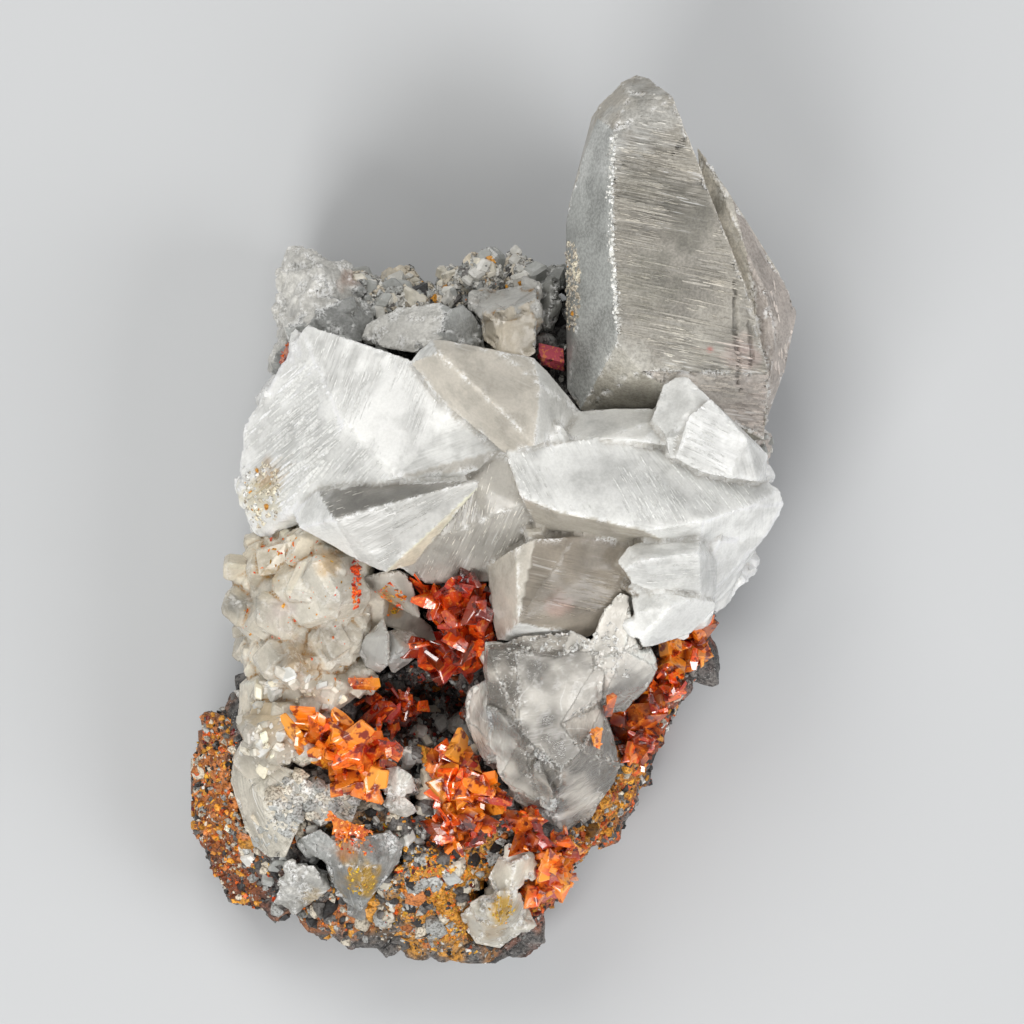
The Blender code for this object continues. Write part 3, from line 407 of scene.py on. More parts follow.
class Crystal:
    """A fine copy of one node, with its points in millimetres and what each of them lies on."""

    def __init__(self, node, voxel, grown=()):
        self.node = node
        solid = merged_solid(node)
        for copies in grown:
            solid.from_mesh(mesh_of(node, *copies))
        coarse = bpy.data.meshes.new(node)
        solid.to_mesh(coarse)
        self.piece = bpy.data.objects.new("fine_" + node, coarse)
        bpy.context.scene.collection.objects.link(self.piece)
        remesh = self.piece.modifiers.new("even faces", "REMESH")
        remesh.mode = "VOXEL"
        remesh.voxel_size = voxel * MM
        ready = self.piece.evaluated_get(bpy.context.evaluated_depsgraph_get())
        self.mesh = bpy.data.meshes.new_from_object(ready)
        self.mesh.name = "fine_" + node
        self.piece.modifiers.clear()
        self.piece.data = self.mesh
        self.tree = BVHTree.FromBMesh(solid)
        self.owner, self.face_normals, self.face_centres = flat_faces(solid)
        edges = edge_points(solid)
        raw = np.empty(len(self.mesh.vertices) * 3)
        self.mesh.vertices.foreach_get("co", raw)
        self.points = raw.reshape(-1, 3)
        self.face = np.zeros(len(self.points), int)
        self.edge = np.zeros(len(self.points))
        for number, point in enumerate(self.points):
            hit = self.tree.find_nearest(point)
            self.points[number] = hit[0]
            self.face[number] = self.owner[hit[2]]
            self.edge[number] = edges.find(hit[0])[2]
        self.points /= MM
        self.edge /= MM
        self.normal = self.face_normals[self.face]
        self.crease = ramp(self.hollows(), 0.004, 0.045)
        solid.free()

    def hollows(self, rounds=3):
        """How far each point lies below its neighbours, in mm: more than nothing where two crystals meet."""
        ends = np.empty(len(self.mesh.edges) * 2, np.int32)
        self.mesh.edges.foreach_get("vertices", ends)
        first, second, many = ends[::2], ends[1::2], len(self.points)
        near = np.maximum(np.bincount(ends, minlength=many), 1)

        def around(values):
            total = np.bincount(first, values[second], many) + np.bincount(second, values[first], many)
            return total / near

        middle = np.stack([around(axis) for axis in self.points.T], axis=1)
        depth = ((middle - self.points) * self.normal).sum(axis=1)
        for _ in range(rounds):
            depth = (depth + around(depth)) / 2
        return depth

    def face_under(self, right, down):
        """The flat face that is seen from above at a place on the sheet, or None."""
        hit = self.tree.ray_cast(at(right, down, SKY), DOWN)
        return None if hit[2] is None else int(self.owner[hit[2]])

    def points_under(self, right, down):
        """The numbers of the points on the flat face that is seen at a place on the sheet."""
        return np.flatnonzero(self.face == self.face_under(right, down))

    def sheet(self):
        """Each point's right and down on the sheet."""
        return np.stack([self.points[:, 0] + SHEET_RIGHT, SHEET_DOWN - self.points[:, 1]], axis=1)

    def finish(self, material, slot):
        """Keeps the points inside the CAD model's box, writes them back and attaches the piece to the root.
        """
        low, high = (np.array(corner) / MM for corner in cad_box)
        kept = np.clip(self.points, low, high) * MM
        self.mesh.vertices.foreach_set("co", kept.ravel())
        self.mesh.polygons.foreach_set("use_smooth", np.ones(len(self.mesh.polygons), bool))
        self.mesh.set_sharp_from_angle(angle=SHARP_BEND)
        self.mesh.update()
        self.mesh.materials.clear()
        self.mesh.materials.append(material)
        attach(self.piece, "root")
        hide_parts(self.node)
        triangles = sum(len(face.vertices) - 2 for face in self.mesh.polygons)
        print(self.piece.name, "has", triangles, "triangles")


print("kinds of attribute on a fine copy:", list(FIELDS))

# %% [markdown]
# ## Growth lines, steps and chips
#
# Calcite faces carry fine parallel growth lines, low steps with ragged borders, and small bites along the
# edges. All three follow the face, so each face has its own direction. Every point gets its place along
# and across the growth lines, and the relief is worked out from those two.

# %% Direction and tone of every face
CRACK_DEPTH = 0.25
FACE_STEP = 37.3
FACE_SPREAD = 911


def grow(crystal, faces):
    """Sets the growth direction, tone, clearness and lines of each face, from a table of places on the sheet.

    A face that isn't in the table takes the values of the nearest one that is.
    """
    count = len(crystal.face_normals)
    heading = np.zeros((count, 3))
    tone = np.zeros((count, 5))
    known = {}
    for right, down, angle, colour, clearness, lined in faces:
        number = crystal.face_under(right, down)
        if number is not None and number not in known:
            known[number] = (math.radians(angle), np.append(linear(*colour), [clearness, lined]))
    for number in range(count):
        centre = crystal.face_centres[number]
        nearest = min(known, key=lambda other: np.linalg.norm(crystal.face_centres[other] - centre))
        angle, values = known[nearest]
        flow = np.array([math.cos(angle), math.sin(angle), 0.0])
        flow -= crystal.face_normals[number] * flow.dot(crystal.face_normals[number])
        if np.linalg.norm(flow) < 0.15:
            flow = np.cross(crystal.face_normals[number], [0.0, 0.0, 1.0])
        heading[number] = flow / np.linalg.norm(flow)
        tone[number] = values
    away = crystal.points - crystal.face_centres[crystal.face] / MM
    along = heading[crystal.face]
    across = np.cross(crystal.normal, along)
    crystal.along = along
    apart = crystal.face * FACE_STEP % FACE_SPREAD
    crystal.growth = np.stack([(away * along).sum(axis=1), (away * across).sum(axis=1), apart], axis=1)
    crystal.growth[:, :2] += apart[:, None]
    crystal.tone = tone[crystal.face, :4]
    crystal.lined = tone[crystal.face, 4]
    print(crystal.node, "has", len(known), "of", count, "faces in its table")


def stain(crystal, blots):
    """Tints the tone around places on the sheet: right, down, reach, colour and how strong."""
    sheet_place = crystal.sheet()
    ragged = 0.45 * rugged(crystal.points * 0.8, 31)
    for right, down, reach, colour, strength in blots:
        distance = np.hypot(sheet_place[:, 0] - right, sheet_place[:, 1] - down) / reach + ragged
        share = (strength * (1 - ramp(distance, 0.3, 1.1)))[:, None]
        crystal.tone[:, :3] = crystal.tone[:, :3] * (1 - share) + linear(*colour) * share


def crack(crystal, cracks):
    """Cuts thin ragged cracks, each from one place on the sheet to another, with a half width in mm."""
    ragged = crystal.sheet() + 0.3 * rugged(crystal.points * 0.7, 33)[:, None]
    for right, down, last_right, last_down, wide in cracks:
        start, way = np.array([right, down]), np.array([last_right - right, last_down - down])
        part = np.clip((ragged - start) @ way / (way @ way), 0, 1)
        gap = np.linalg.norm(ragged - start - part[:, None] * way, axis=1)
        share = ((1 - ramp(gap, 0.3 * wide, wide)) * (crystal.normal[:, 2] > 0.3))[:, None]
        crystal.points = crystal.points - crystal.normal * CRACK_DEPTH * share
        # painted shade: the tone is darker inside each crack
        crystal.tone[:, :3] *= 1 - 0.4 * share


print("a colour of the table, as the shader uses it:", linear(165, 160, 150).round(3))

# %% [markdown]
# ### Relief
#
# A step is made from a smooth wave that is rounded down to whole levels, so its border is as ragged as
# the wave. Bites use the distance from the nearest edge. The same numbers also shade the tone, because a
# chipped or stepped place is whiter on the real crystal. The distance from the edge also paints light into
# the tone: a painted glow along the edges and a painted shade away from them.

# %% Relief
# the wave swings by LEVEL_SPAN levels about LEVEL_BASE, and STAIRS levels make up the full relief
LEVEL_SPAN = 2.6
LEVEL_BASE = 8
LEVEL_TONES = 64
STAIRS = 6
BRIGHTEST = 0.88


def carve(crystal, steps=0.10, bites=0.25, lumps=0.0, patches=0.12, shelf=(0.10, 0.42), swell=0.0, foot=0.0,
          mottle=0.0, seed=1):
    """Cuts growth steps into the faces and bites into the edges, and raises lumps, most of them low down."""
    growth = crystal.growth
    # growth lines come and go in patches
    lined_share = ramp(rugged(growth * [0.12, 0.22, 1.0], seed + 51), -0.30, 0.35)
    crystal.lined = crystal.lined * (0.15 + 0.85 * lined_share)
    # steps: a rugged wave cut into levels, with a narrow slope between two of them
    wave = rugged(growth * [shelf[0], shelf[1], 1.0], seed) * LEVEL_SPAN + LEVEL_BASE
    wave += 0.5 * lattice(crystal.points * 0.9, seed + 3)
    level = np.floor(wave)
    stairs = (level + ramp(wave - level, 0.75, 1.0)) / STAIRS
    # bites in the edges, lumps everywhere, and more of them low on the sides
    torn = rugged(crystal.points * 1.1, seed + 17)
    bite = (1 - ramp(crystal.edge, 0.15, 0.9)) * ramp(torn, 0.05, 0.7)
    depth = steps * crystal.lined * (stairs - 1) + bites * bite - swell
    depth = depth - lumps * rugged(crystal.points * 0.55, seed + 23, 4)
    top = crystal.points[:, 2].max()
    low = (1 - ramp(crystal.normal[:, 2], 0.1, 0.5)) * (1 - ramp(crystal.points[:, 2], 0.3 * top, 0.8 * top))
    depth = depth - foot * low * rugged(crystal.points * 0.3, seed + 27, 4)
    crystal.points = crystal.points - crystal.normal * depth[:, None]
    # tone: each level and each face its own, with a painted glow that makes it paler at the edges and a
    # painted shade that makes it darker away from them
    each = np.random.default_rng(seed).uniform(-1, 1, LEVEL_TONES)[level.astype(int) % LEVEL_TONES]
    shade = 1 + patches * each * crystal.lined + 0.09 * rugged(crystal.points * 0.25, seed + 31)
    shade += mottle * np.random.default_rng(seed + 1).uniform(-1, 1, FACE_SPREAD)[crystal.face % FACE_SPREAD]
    # painted light: a painted glow near the edges and a painted shade away from them
    shade += 0.12 * (1 - ramp(crystal.edge, 0.0, 0.7)) - 0.10 * ramp(crystal.edge, 0.7, 3.5)
    crystal.tone[:, :3] = np.minimum(crystal.tone[:, :3] * np.clip(shade, 0.5, 1.5)[:, None], BRIGHTEST)
    crystal.tone[:, 3] *= 0.3 + 0.7 * ramp(rugged(crystal.points * 0.22, seed + 41), -0.5, 0.5)
    crystal.worn = np.clip((1 - ramp(crystal.edge, 0.05, 0.40)) * ramp(torn, -0.15, 0.35) + bite * 0.5, 0, 1)


FINE = {}


def dressed(node, voxel, faces, material, slot, blots=(), grown=(), cracks=(), **relief):
    """One calcite from its CAD node to its finished piece."""
    crystal = Crystal(node, voxel, grown)
    grow(crystal, faces)
    stain(crystal, blots)
    carve(crystal, **relief)
    crack(crystal, cracks)
    write(crystal.mesh, "growth", "FLOAT_VECTOR", crystal.growth)
    write(crystal.mesh, "tone", "FLOAT_COLOR", crystal.tone)
    for name in ("worn", "lined", "crease"):
        write(crystal.mesh, name, "FLOAT", getattr(crystal, name))
    crystal.finish(material, slot)
    FINE[node] = crystal
    return crystal


print("a growth step rises by one part in", STAIRS, "of the relief that a crystal asks for")

# %% [markdown]
# ## The calcite finish
#
# Calcite is partly milky and partly clear, often within one face. Two shaders are mixed for that: a clear
# one that lets light through, and a milky one, which on the white crystals also scatters light under its
# surface. Fine streaks along the growth direction change the relief, and they also paint light into the
# colour: their thin dark lines are painted shadow and their white dashes painted highlights of the growth
# steps. Worn edges turn white. The creases turn darker: on the druse with a real orange-brown film, on the
# other calcites partly with dirt and partly with painted shade.

# %% Calcite
CALCITE_IOR = 1.5
# white of the worn chips and veins, and of the painted highlights on the dashes
CHIP_AND_HIGHLIGHT_WHITE = (0.82, 0.82, 0.81, 1)
# grey for the painted shadow of the growth lines, and for the plates, frost and clouds
LINE_GREY = (0.42, 0.42, 0.41, 1)
# brown-grey for the creases: partly dirt and partly painted shade
CREASE_DIRT_AND_SHADE = (0.30, 0.27, 0.22, 1)


def calcite(name, plates=0.2, lines=0.3, dashes=0.4, gloss=0.25, clear_gloss=0.10, relief=0.06, grain=0.5,
            glow=0.0, depth=1.1, clouds=0.3, veins=0.0, wear=0.8, ripple=0.0, crease_dirt_and_shade_share=0.5, crease_dirt_and_shade=CREASE_DIRT_AND_SHADE):
    """A calcite finish: how strong its growth plates, fine lines, white dashes, clouds and veins are."""
    board = Board(name)
    growth = board.attribute("growth", "Vector")
    tone = board.attribute("tone", "Color")
    clearness = board.attribute("tone", "Alpha")
    worn = board.attribute("worn", "Fac")
    lined = board.attribute("lined", "Fac")
    crease = board.attribute("crease", "Fac")

    # growth plates and fine lines, both drawn out along the growth direction
    cells = {"Vector": board.stretched(growth, (0.22, 1.5, 1.0)), "Scale": 1.0}
    plate = board.node("ShaderNodeTexVoronoi", {"voronoi_dimensions": "2D"}, cells, "Color")
    plate = board.node("ShaderNodeSeparateColor", None, {"Color": plate}, "Red")
    fine = board.node("ShaderNodeTexNoise", {"noise_dimensions": "2D"}, {
        "Vector": board.stretched(growth, (0.22, 4.6, 1.0)), "Scale": 1.0, "Detail": 2.0, "Roughness": 0.5})
    # specks, clouds and ripples, and veins along the borders of bent cells
    place = board.place()
    speck = board.noise(place, 3.4, 2.0, 0.7)
    cloud = board.noise(place, 0.32, 3.0, 0.6)
    ripples = board.noise(board.stretched(growth, (0.8, 1.5, 1.0)), 1.1, 3.0, 0.55)
    bent = board.node("ShaderNodeVectorMath", {"operation": "MULTIPLY_ADD"}, {
        0: board.node("ShaderNodeTexNoise", None, {"Vector": place, "Scale": 0.16, "Detail": 2.0}, "Color"),
        1: (3.5, 3.5, 3.5), 2: place})
    to_border = {"feature": "DISTANCE_TO_EDGE"}
    vein = board.node("ShaderNodeTexVoronoi", to_border, {"Vector": bent, "Scale": 0.15}, "Distance")
    vein = vein.between(0.016, 0.002) * cloud.between(0.46, 0.56) * speck.between(0.30, 0.50)

    # white: worn edges, veins, and dashes that are painted highlights of the growth steps. Darker: lines that
    # are painted shadow of the steps, plates, frost and clouds.
    thin = fine.between(0.56, 0.62) * lined
    dash = (1 - fine).between(0.60, 0.66) * plate.between(0.45, 0.75) * lined
    white = worn * speck.between(0.42, 0.52) * wear + dash * dashes + vein * veins
    frost = speck.between(0.62, 0.38) * (1 - lined * 0.8) * (grain * 0.3)
    shaded = plate.between(0.9, 0.1) * lined * plates
    darker = thin * lines + shaded + frost + cloud.between(0.56, 0.38) * clouds
    body = board.mixed(darker, tone, board.tinted(tone, LINE_GREY))
    # creases: darker, partly dirt and partly painted shade; on the druse a real orange-brown film
    body = board.mixed(crease * speck.between(0.30, 0.60) * crease_dirt_and_shade_share, body, crease_dirt_and_shade)
    colour = board.mixed(white, body, CHIP_AND_HIGHLIGHT_WHITE)

    # a milky and a clear shader, mixed by the clearness of the face
    bump = board.bump(fine * lined + speck * (0.5 * grain) + ripples * ripple, 0.7, relief)
    milky = board.principled({
        "Base Color": colour, "Roughness": speck * (grain * 0.3) + gloss, "Normal": bump, "IOR": CALCITE_IOR,
        "Subsurface Weight": glow, "Subsurface Radius": (1.0, 0.97, 0.92), "Subsurface Scale": depth * MM})
    glass = board.principled({
        "Base Color": board.mixed(0.5, colour, (1, 1, 1, 1)), "Roughness": clear_gloss,
        "Normal": bump, "IOR": CALCITE_IOR, "Transmission Weight": 1.0})
    blend = {0: clearness * (1 - white), 1: milky, 2: glass}
    return board.finish(board.node("ShaderNodeMixShader", None, blend))


print("calcite bends light with an index of", CALCITE_IOR)

# %% [markdown]
# ## Small solids by the thousand
#
# Crumbs, flakes, rhombs and prisms repeat many times. Each shape is made once with bmesh operators. Numpy
# then turns, sizes and places all its copies together, and they are joined into one mesh with a colour
# for each.

# %% Shapes
def shaped(make):
    """Runs one bmesh recipe and keeps its points and triangles."""
    body = bmesh.new()
    make(body)
    bmesh.ops.triangulate(body, faces=body.faces)
    bmesh.ops.recalc_face_normals(body, faces=body.faces)
    body.verts.index_update()
    points = np.array([vert.co for vert in body.verts])
    faces = np.array([[vert.index for vert in face.verts] for face in body.faces])
    body.free()
    # a bevel gives its triangles in another order in each run, so they are sorted
    return points, faces[np.lexsort(faces.T)]


def crumb(seed):
    """A broken lump: a ball of twenty faces, pushed about."""
    def make(body):
        bmesh.ops.create_icosphere(body, subdivisions=1, radius=0.5)
        shake = np.random.default_rng(seed)
        for vert in body.verts:
            vert.co *= shake.uniform(0.65, 1.25)
    return make


def rhomb(body):
    """A calcite rhomb: a leaning block."""
    bmesh.ops.create_cube(body, size=0.8)
    lean = Matrix(((1, 0.12, 0.12), (0.12, 1, 0.12), (0.12, 0.12, 1)))
    bmesh.ops.transform(body, matrix=lean.to_4x4(), verts=body.verts)


def block(body):
    """A rhomb with worn edges, for the larger crystals."""
    rhomb(body)
    bmesh.ops.bevel(body, geom=body.edges, offset=0.13, affect="EDGES", segments=1, profile=0.5, material=-1)


def blade(body):
    """A realgar blade: a flat six-sided prism that ends in a crooked wedge, with worn edges."""
    bmesh.ops.create_cone(body, cap_ends=True, segments=6, radius1=0.42, radius2=0.5, depth=1.0)
    for vert in body.verts:
        vert.co.z += 0.35
        vert.co.y *= 0.6
        if vert.co.z > 0.5:
            vert.co.z += 0.45 * vert.co.x - 0.9 * abs(vert.co.y)
    bmesh.ops.bevel(body, geom=body.edges, offset=0.04, affect="EDGES", segments=1, profile=0.5, material=-1)


def prism(body):
    """A realgar prism one unit long, four-sided, with a slanted blunt tip, standing on its origin."""
    bmesh.ops.create_cone(body, cap_ends=True, segments=4, radius1=0.5, radius2=0.42, depth=1.0)
    for vert in body.verts:
        vert.co.z += 0.5
        if vert.co.z > 0.9:
            vert.co.z += 0.30 * vert.co.x - 0.12 * vert.co.y


def flake(body):
    """A thin plate with five uneven corners."""
    bmesh.ops.create_cone(body, cap_ends=True, segments=5, radius1=0.5, radius2=0.40, depth=0.22)
    for number, vert in enumerate(body.verts):
        vert.co.x *= (0.8, 1.2, 1.0)[number % 3]


def lath(body):
    """A growth lath: long, pointed at both ends, and higher along one side."""
    bmesh.ops.create_cone(body, cap_ends=True, segments=6, radius1=0.5, radius2=0.42, depth=1.0)
    for vert in body.verts:
        vert.co.y *= 1.15
        if vert.co.z > 0:
            vert.co.z += 0.9 * vert.co.y


SHAPES = {"lath": shaped(lath), "block": shaped(block), "blade": shaped(blade), "crumb": shaped(crumb(3)),
          "chunk": shaped(crumb(8)), "prism": shaped(prism), "flake": shaped(flake)}
print({name: len(faces) for name, (points, faces) in SHAPES.items()}, "triangles each")


# %% [markdown]
# ### Turning, placing and joining
#
# A thousand objects would be slow to render, so all copies of a shape in one place become one mesh. Each
# copy has its own place, turn and size. It also has its own tone, with another one for its far end, because
# small crystals are often paler at the tip.

# %% Turning, placing and joining
GRAIN_STEP = 7.3


def turns_of(directions, spins):
    """Rotations that take the upright axis to each direction, with a spin about it."""
    up = directions / np.linalg.norm(directions, axis=1)[:, None]
    helper = np.where(np.abs(up[:, 2:]) < 0.9, [0.0, 0.0, 1.0], [1.0, 0.0, 0.0])
    side = np.cross(helper, up)
    side /= np.linalg.norm(side, axis=1)[:, None]
    other = np.cross(up, side)
    cosine, sine = np.cos(spins)[:, None], np.sin(spins)[:, None]
    return np.stack([side * cosine + other * sine, other * cosine - side * sine, up], axis=2)


def mesh_of(name, shape, places, turns, sizes):
    """One mesh of many copies of a shape, kept inside the CAD model's box. Places and sizes are in mm."""
    points, faces = SHAPES[shape]
    turned = np.einsum("nij,nvj->nvi", turns, points[None] * sizes[:, None, :])
    everything = (turned + places[:, None, :]).reshape(-1, 3)
    low, high = (np.array(corner) / MM for corner in cad_box)
    everything = np.clip(everything, low, high) * MM
    shifted = (faces[None] + len(points) * np.arange(len(places))[:, None, None]).reshape(-1, 3)
    mesh = bpy.data.meshes.new(name)
    mesh.from_pydata(everything.tolist(), [], shifted.tolist())
    return mesh


def joined(name, shape, places, turns, sizes, colours, material, ends=None):
    """Makes one mesh of copies and attaches it to the root. Each copy has its tone, another one for its far
    end, and its own grain.
    """
    points = SHAPES[shape][0]
    mesh = mesh_of(name, shape, places, turns, sizes)
    far = ramp(points[:, 2], points[:, 2].min(), points[:, 2].max())[None, :, None]
    tones = colours[:, None] * (1 - far) + (colours if ends is None else ends)[:, None] * far
    write(mesh, "tone", "FLOAT_COLOR", tones)
    own_grain = points[None] * sizes[:, None, :] + GRAIN_STEP * np.arange(len(places))[:, None, None]
    write(mesh, "growth", "FLOAT_VECTOR", own_grain)
    mesh.materials.append(material)
    piece = bpy.data.objects.new(name, mesh)
    bpy.context.scene.collection.objects.link(piece)
    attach(piece, "root")
    print(name, "has", len(places), "copies and", len(mesh.polygons), "triangles")


# %% [markdown]
# ### Places all over a node
#
# Crystals and crumbs grow on all sides of a piece and not only where the camera looks. A triangle is
# drawn with a chance that follows its area, and then a place in it, which spreads the places evenly. The
# flat face that the specimen rests on stays free.

# %% Places all over a node
REST_FACING = -0.6
FULL_TURN = 6.28


def spread(host, count, dice, lowest=1.0):
    """Points spread evenly over the whole skin of a node, apart from its flat rest face."""
    merged = merged_solid(host)
    bmesh.ops.triangulate(merged, faces=merged.faces)
    skin = [face for face in merged.faces if face.normal.z > REST_FACING]
    areas = np.array([face.calc_area() for face in skin])
    corners = np.array([[vert.co for vert in face.verts] for face in skin]) / MM
    normals = np.array([face.normal for face in skin])
    chosen = dice.choice(len(skin), size=count, p=areas / areas.sum())
    first, second = dice.random(count), dice.random(count)
    folded = first + second > 1
    first, second = np.where(folded, 1 - first, first), np.where(folded, 1 - second, second)
    corner = corners[chosen]
    places = corner[:, 0] + first[:, None] * (corner[:, 1] - corner[:, 0])
    places += second[:, None] * (corner[:, 2] - corner[:, 0])
    merged.free()
    high_enough = places[:, 2] > lowest
    return places[high_enough], normals[chosen][high_enough]


def grown_on(host, shape, count, smallest, largest, dice, lean=0.35, sink=0.2, low_only=False):
    """Copies that grow out of the skin of a node, ready to be remeshed with it."""
    places, facings = spread(host, count, dice)
    if low_only:
        top = places[:, 2].max()
        kept = (facings[:, 2] < 0.4) & (places[:, 2] < top * dice.uniform(0.3, 0.75, len(places)))
        places, facings = places[kept], facings[kept]
    many = len(places)
    scale = smallest + (largest - smallest) * dice.random(many) ** 1.6
    sizes = scale[:, None] * dice.uniform(0.7, 1.25, (many, 3))
    turns = turns_of(facings + dice.normal(0, lean, (many, 3)), dice.uniform(0, FULL_TURN, many))
    print(host, "gets", many, "copies of", shape)
    return shape, places - facings * (sink * scale[:, None]), turns, sizes


# %% [markdown]
# ## Growth laths
#
# Seen closely, a striated calcite face is a pile of long thin laths, each a little higher along one side.
# The bright and dark lines on the face are their edges. A few hundred real laths on each face catch the
# light as no painted line does.

# %% Lath finish and laths on a face
LATH_GREY = (0.62, 0.62, 0.61, 1)
LATH_BRIGHTEST = 0.86
LATH_REACH = 1.9


def lath_like(name):
    """The tone alone, a little uneven: thin laths would lose the light that scatters under a surface."""
    board = Board(name)
    tone = board.attribute("tone", "Color")
    speck = board.noise(board.place(), 3.0, 1.0, 0.6)
    colour = board.mixed(speck.between(0.62, 0.38) * 0.4, tone, board.tinted(tone, LATH_GREY))
    return board.finish(board.principled({
        "Base Color": colour, "Roughness": speck * 0.2 + 0.18, "IOR": CALCITE_IOR}))


lath_finish = lath_like("calcite_laths")


def laths(crystal, name, rows, seed):
    """Laths on faces. A row: right, down, count, length, width and height in mm, contrast, brightness."""
    dice = np.random.default_rng(seed)
    parts = []
    for right, down, count, length, width, height, contrast, bright in rows:
        chosen = dice.choice(crystal.points_under(right, down), size=count)
        clumps = lattice(crystal.growth[chosen] * [0.16, 0.30, 1.0], seed + 5) + 0.8 * crystal.lined[chosen]
        chosen = chosen[(crystal.edge[chosen] > 0.3 * width) & (clumps > dice.uniform(-0.1, 0.9, count))]
        many = len(chosen)
        along = crystal.along[chosen] + dice.normal(0, 0.02, (many, 3))
        normal = crystal.normal[chosen]
        along -= normal * (along * normal).sum(axis=1)[:, None]
        along /= np.linalg.norm(along, axis=1)[:, None]
        turns = np.stack([along, np.cross(normal, along), normal], axis=2)
        reach = np.minimum(length * dice.uniform(0.15, 1.0, many), LATH_REACH * crystal.edge[chosen])
        sizes = np.column_stack([
            reach, width * dice.uniform(0.25, 1.1, many), height * dice.uniform(0.3, 1.2, many)])
        tones = crystal.tone[chosen].copy()
        shade = np.clip(dice.normal(bright, contrast, (many, 1)), 0.55, 1.6)
        tones[:, :3] = np.minimum(tones[:, :3] * shade, LATH_BRIGHTEST)
        parts.append((crystal.points[chosen], turns, sizes, tones))
    places, turns, sizes, tones = (np.concatenate(values) for values in zip(*parts))
    joined(name, "lath", places, turns, sizes, tones, lath_finish)


# %% [markdown]
# ## The large grey crystal
#
# The tallest crystal leans away at the upper right. Its front face is warm grey and full of level lines,
# its left flank is frosted, and a narrow dark face and a pale plate run down its right side. White chips
# sit along the edge between the front and the left flank.

# %% Large crystal
grey_calcite = calcite("grey_calcite", plates=0.25, lines=0.5, dashes=0.5, relief=0.08, grain=1.6)

WARM = (165, 160, 150)
FROST = (174, 176, 173)
OLIVE = (172, 167, 155)
SMOKE = (182, 176, 165)
BLUSH = (200, 190, 182)
PEARL = (226, 220, 208)

# faces: right, down, angle of the growth lines, colour, clearness, how strong the lines are
# stains: right, down, reach, colour, how strong
# cracks: right and down of both ends, half width
large = dressed("large_calcite_crystal", 0.19, [
    (67.4, 25.9, -10, WARM, 0.20, 1.0),
    (58.6, 28.4, 86, FROST, 0.00, 0.05),
    (62.0, 39.6, -20, OLIVE, 0.20, 0.15),
    (66.1, 40.7, -20, OLIVE, 0.20, 0.3),
    (72.4, 39.6, -14, BLUSH, 0.20, 0.8),
    (73.0, 24.1, -62, PEARL, 0.05, 0.3),
    (76.0, 25.8, -60, BLUSH, 0.20, 0.3),
    (78.1, 33.2, -60, BLUSH, 0.20, 0.5),
    (61.3, 10.6, 40, SMOKE, 0.08, 0.3),
    (63.8, 10.7, 0, WARM, 0.08, 0.6),
], grey_calcite, "grey_calcite", [
    (70.9, 35.0, 0.5, (186, 34, 12), 1.0),
    (74.2, 35.5, 2.2, (205, 170, 165), 0.5),
    (59.5, 15.0, 4.0, (205, 206, 204), 0.5),
    (60.0, 34.0, 4.0, (168, 168, 165), 0.3),
    (70.0, 37.0, 7.0, (196, 192, 182), 0.5),
    (69.0, 22.0, 4.0, (132, 129, 119), 0.75),
    (65.5, 28.5, 4.0, (136, 133, 122), 0.65),
    (64.0, 19.0, 2.6, (140, 137, 127), 0.5),
    (64.5, 11.5, 4.0, (204, 203, 198), 0.6),
    (72.0, 31.0, 3.0, (196, 190, 178), 0.5),
    (63.0, 36.0, 2.6, (196, 193, 184), 0.5),
], cracks=[
    (73.4, 28.5, 73.9, 39.0, 0.26), (74.9, 32.5, 75.3, 36.8, 0.24), (67.3, 16.0, 69.0, 13.5, 0.24),
], steps=0.6, bites=0.35, patches=0.10, shelf=(0.07, 0.24), seed=3)
laths(large, "large_crystal_laths", [
    (67.4, 25.9, 800, 7.0, 0.15, 0.07, 0.12, 1.08),
    (67.4, 25.9, 260, 5.0, 0.30, 0.10, 0.10, 0.9),
    # short laths half again as bright: painted glints on the step edges
    (67.4, 25.9, 700, 1.6, 0.12, 0.10, 0.22, 1.5),
    (72.4, 39.6, 120, 4.0, 0.30, 0.10, 0.12, 1.05),
    (63.8, 10.7, 40, 2.5, 0.35, 0.10, 0.12, 1.1),
    (78.1, 33.2, 50, 3.0, 0.35, 0.08, 0.10, 1.1),
    (73.0, 24.1, 60, 7.0, 0.5, 0.4, 0.12, 1.1),
], 51)

# %% [markdown]
# ## The white cluster
#
# A fan of flat milky crystals crosses the middle. Each blade keeps its own growth direction, which is
# what makes the single crystals readable although they have grown into one body.

# %% White cluster
white_calcite = calcite("white_calcite", plates=0.12, lines=0.25, dashes=0.45, relief=0.05, gloss=0.14,
                        glow=0.35, depth=1.4)

SNOW = (234, 234, 231)
MILK = (219, 219, 216)
PALE = (212, 211, 206)
MIST = (196, 192, 184)
BEIGE = (202, 196, 185)
CREAM = (236, 228, 206)
FOG = (202, 201, 197)
UMBER = (160, 151, 138)

CLUSTER = "white_calcite_cluster"

# right, down and size of the block that closes each gap
GAPS = [(55.6, 44.1, 3.4), (67.8, 44.1, 3.4), (53.6, 53.8, 2.8),
        (63.2, 60.0, 2.6), (63.3, 62.6, 2.6), (63.6, 58.8, 2.2)]
PLUG_REACH = 1.5
PLUG_SUNK = 0.5


def plug(node, right, down, size):
    """One block that closes a gap between intergrown crystals, a little below the crystals around it."""
    merged = merged_solid(node)
    tree = BVHTree.FromBMesh(merged)
    merged.free()
    heights = []
    for step in range(12):
        angle = step * math.pi / 6
        start = at(right + PLUG_REACH * math.cos(angle), down + PLUG_REACH * math.sin(angle), SKY)
        hit = tree.ray_cast(start, DOWN)
        heights += [] if hit[0] is None else [hit[0].z / MM]
    place = at(right, down, sorted(heights)[len(heights) // 2] - PLUG_SUNK - 0.4 * size) / MM
    print("gap at", right, down, "closed at", round(place.z, 1), "mm")
    turn = turns_of(np.array([[0.15, -0.1, 1.0]]), np.array([right]))
    return "block", np.array([place]), turn, np.full((1, 3), size)


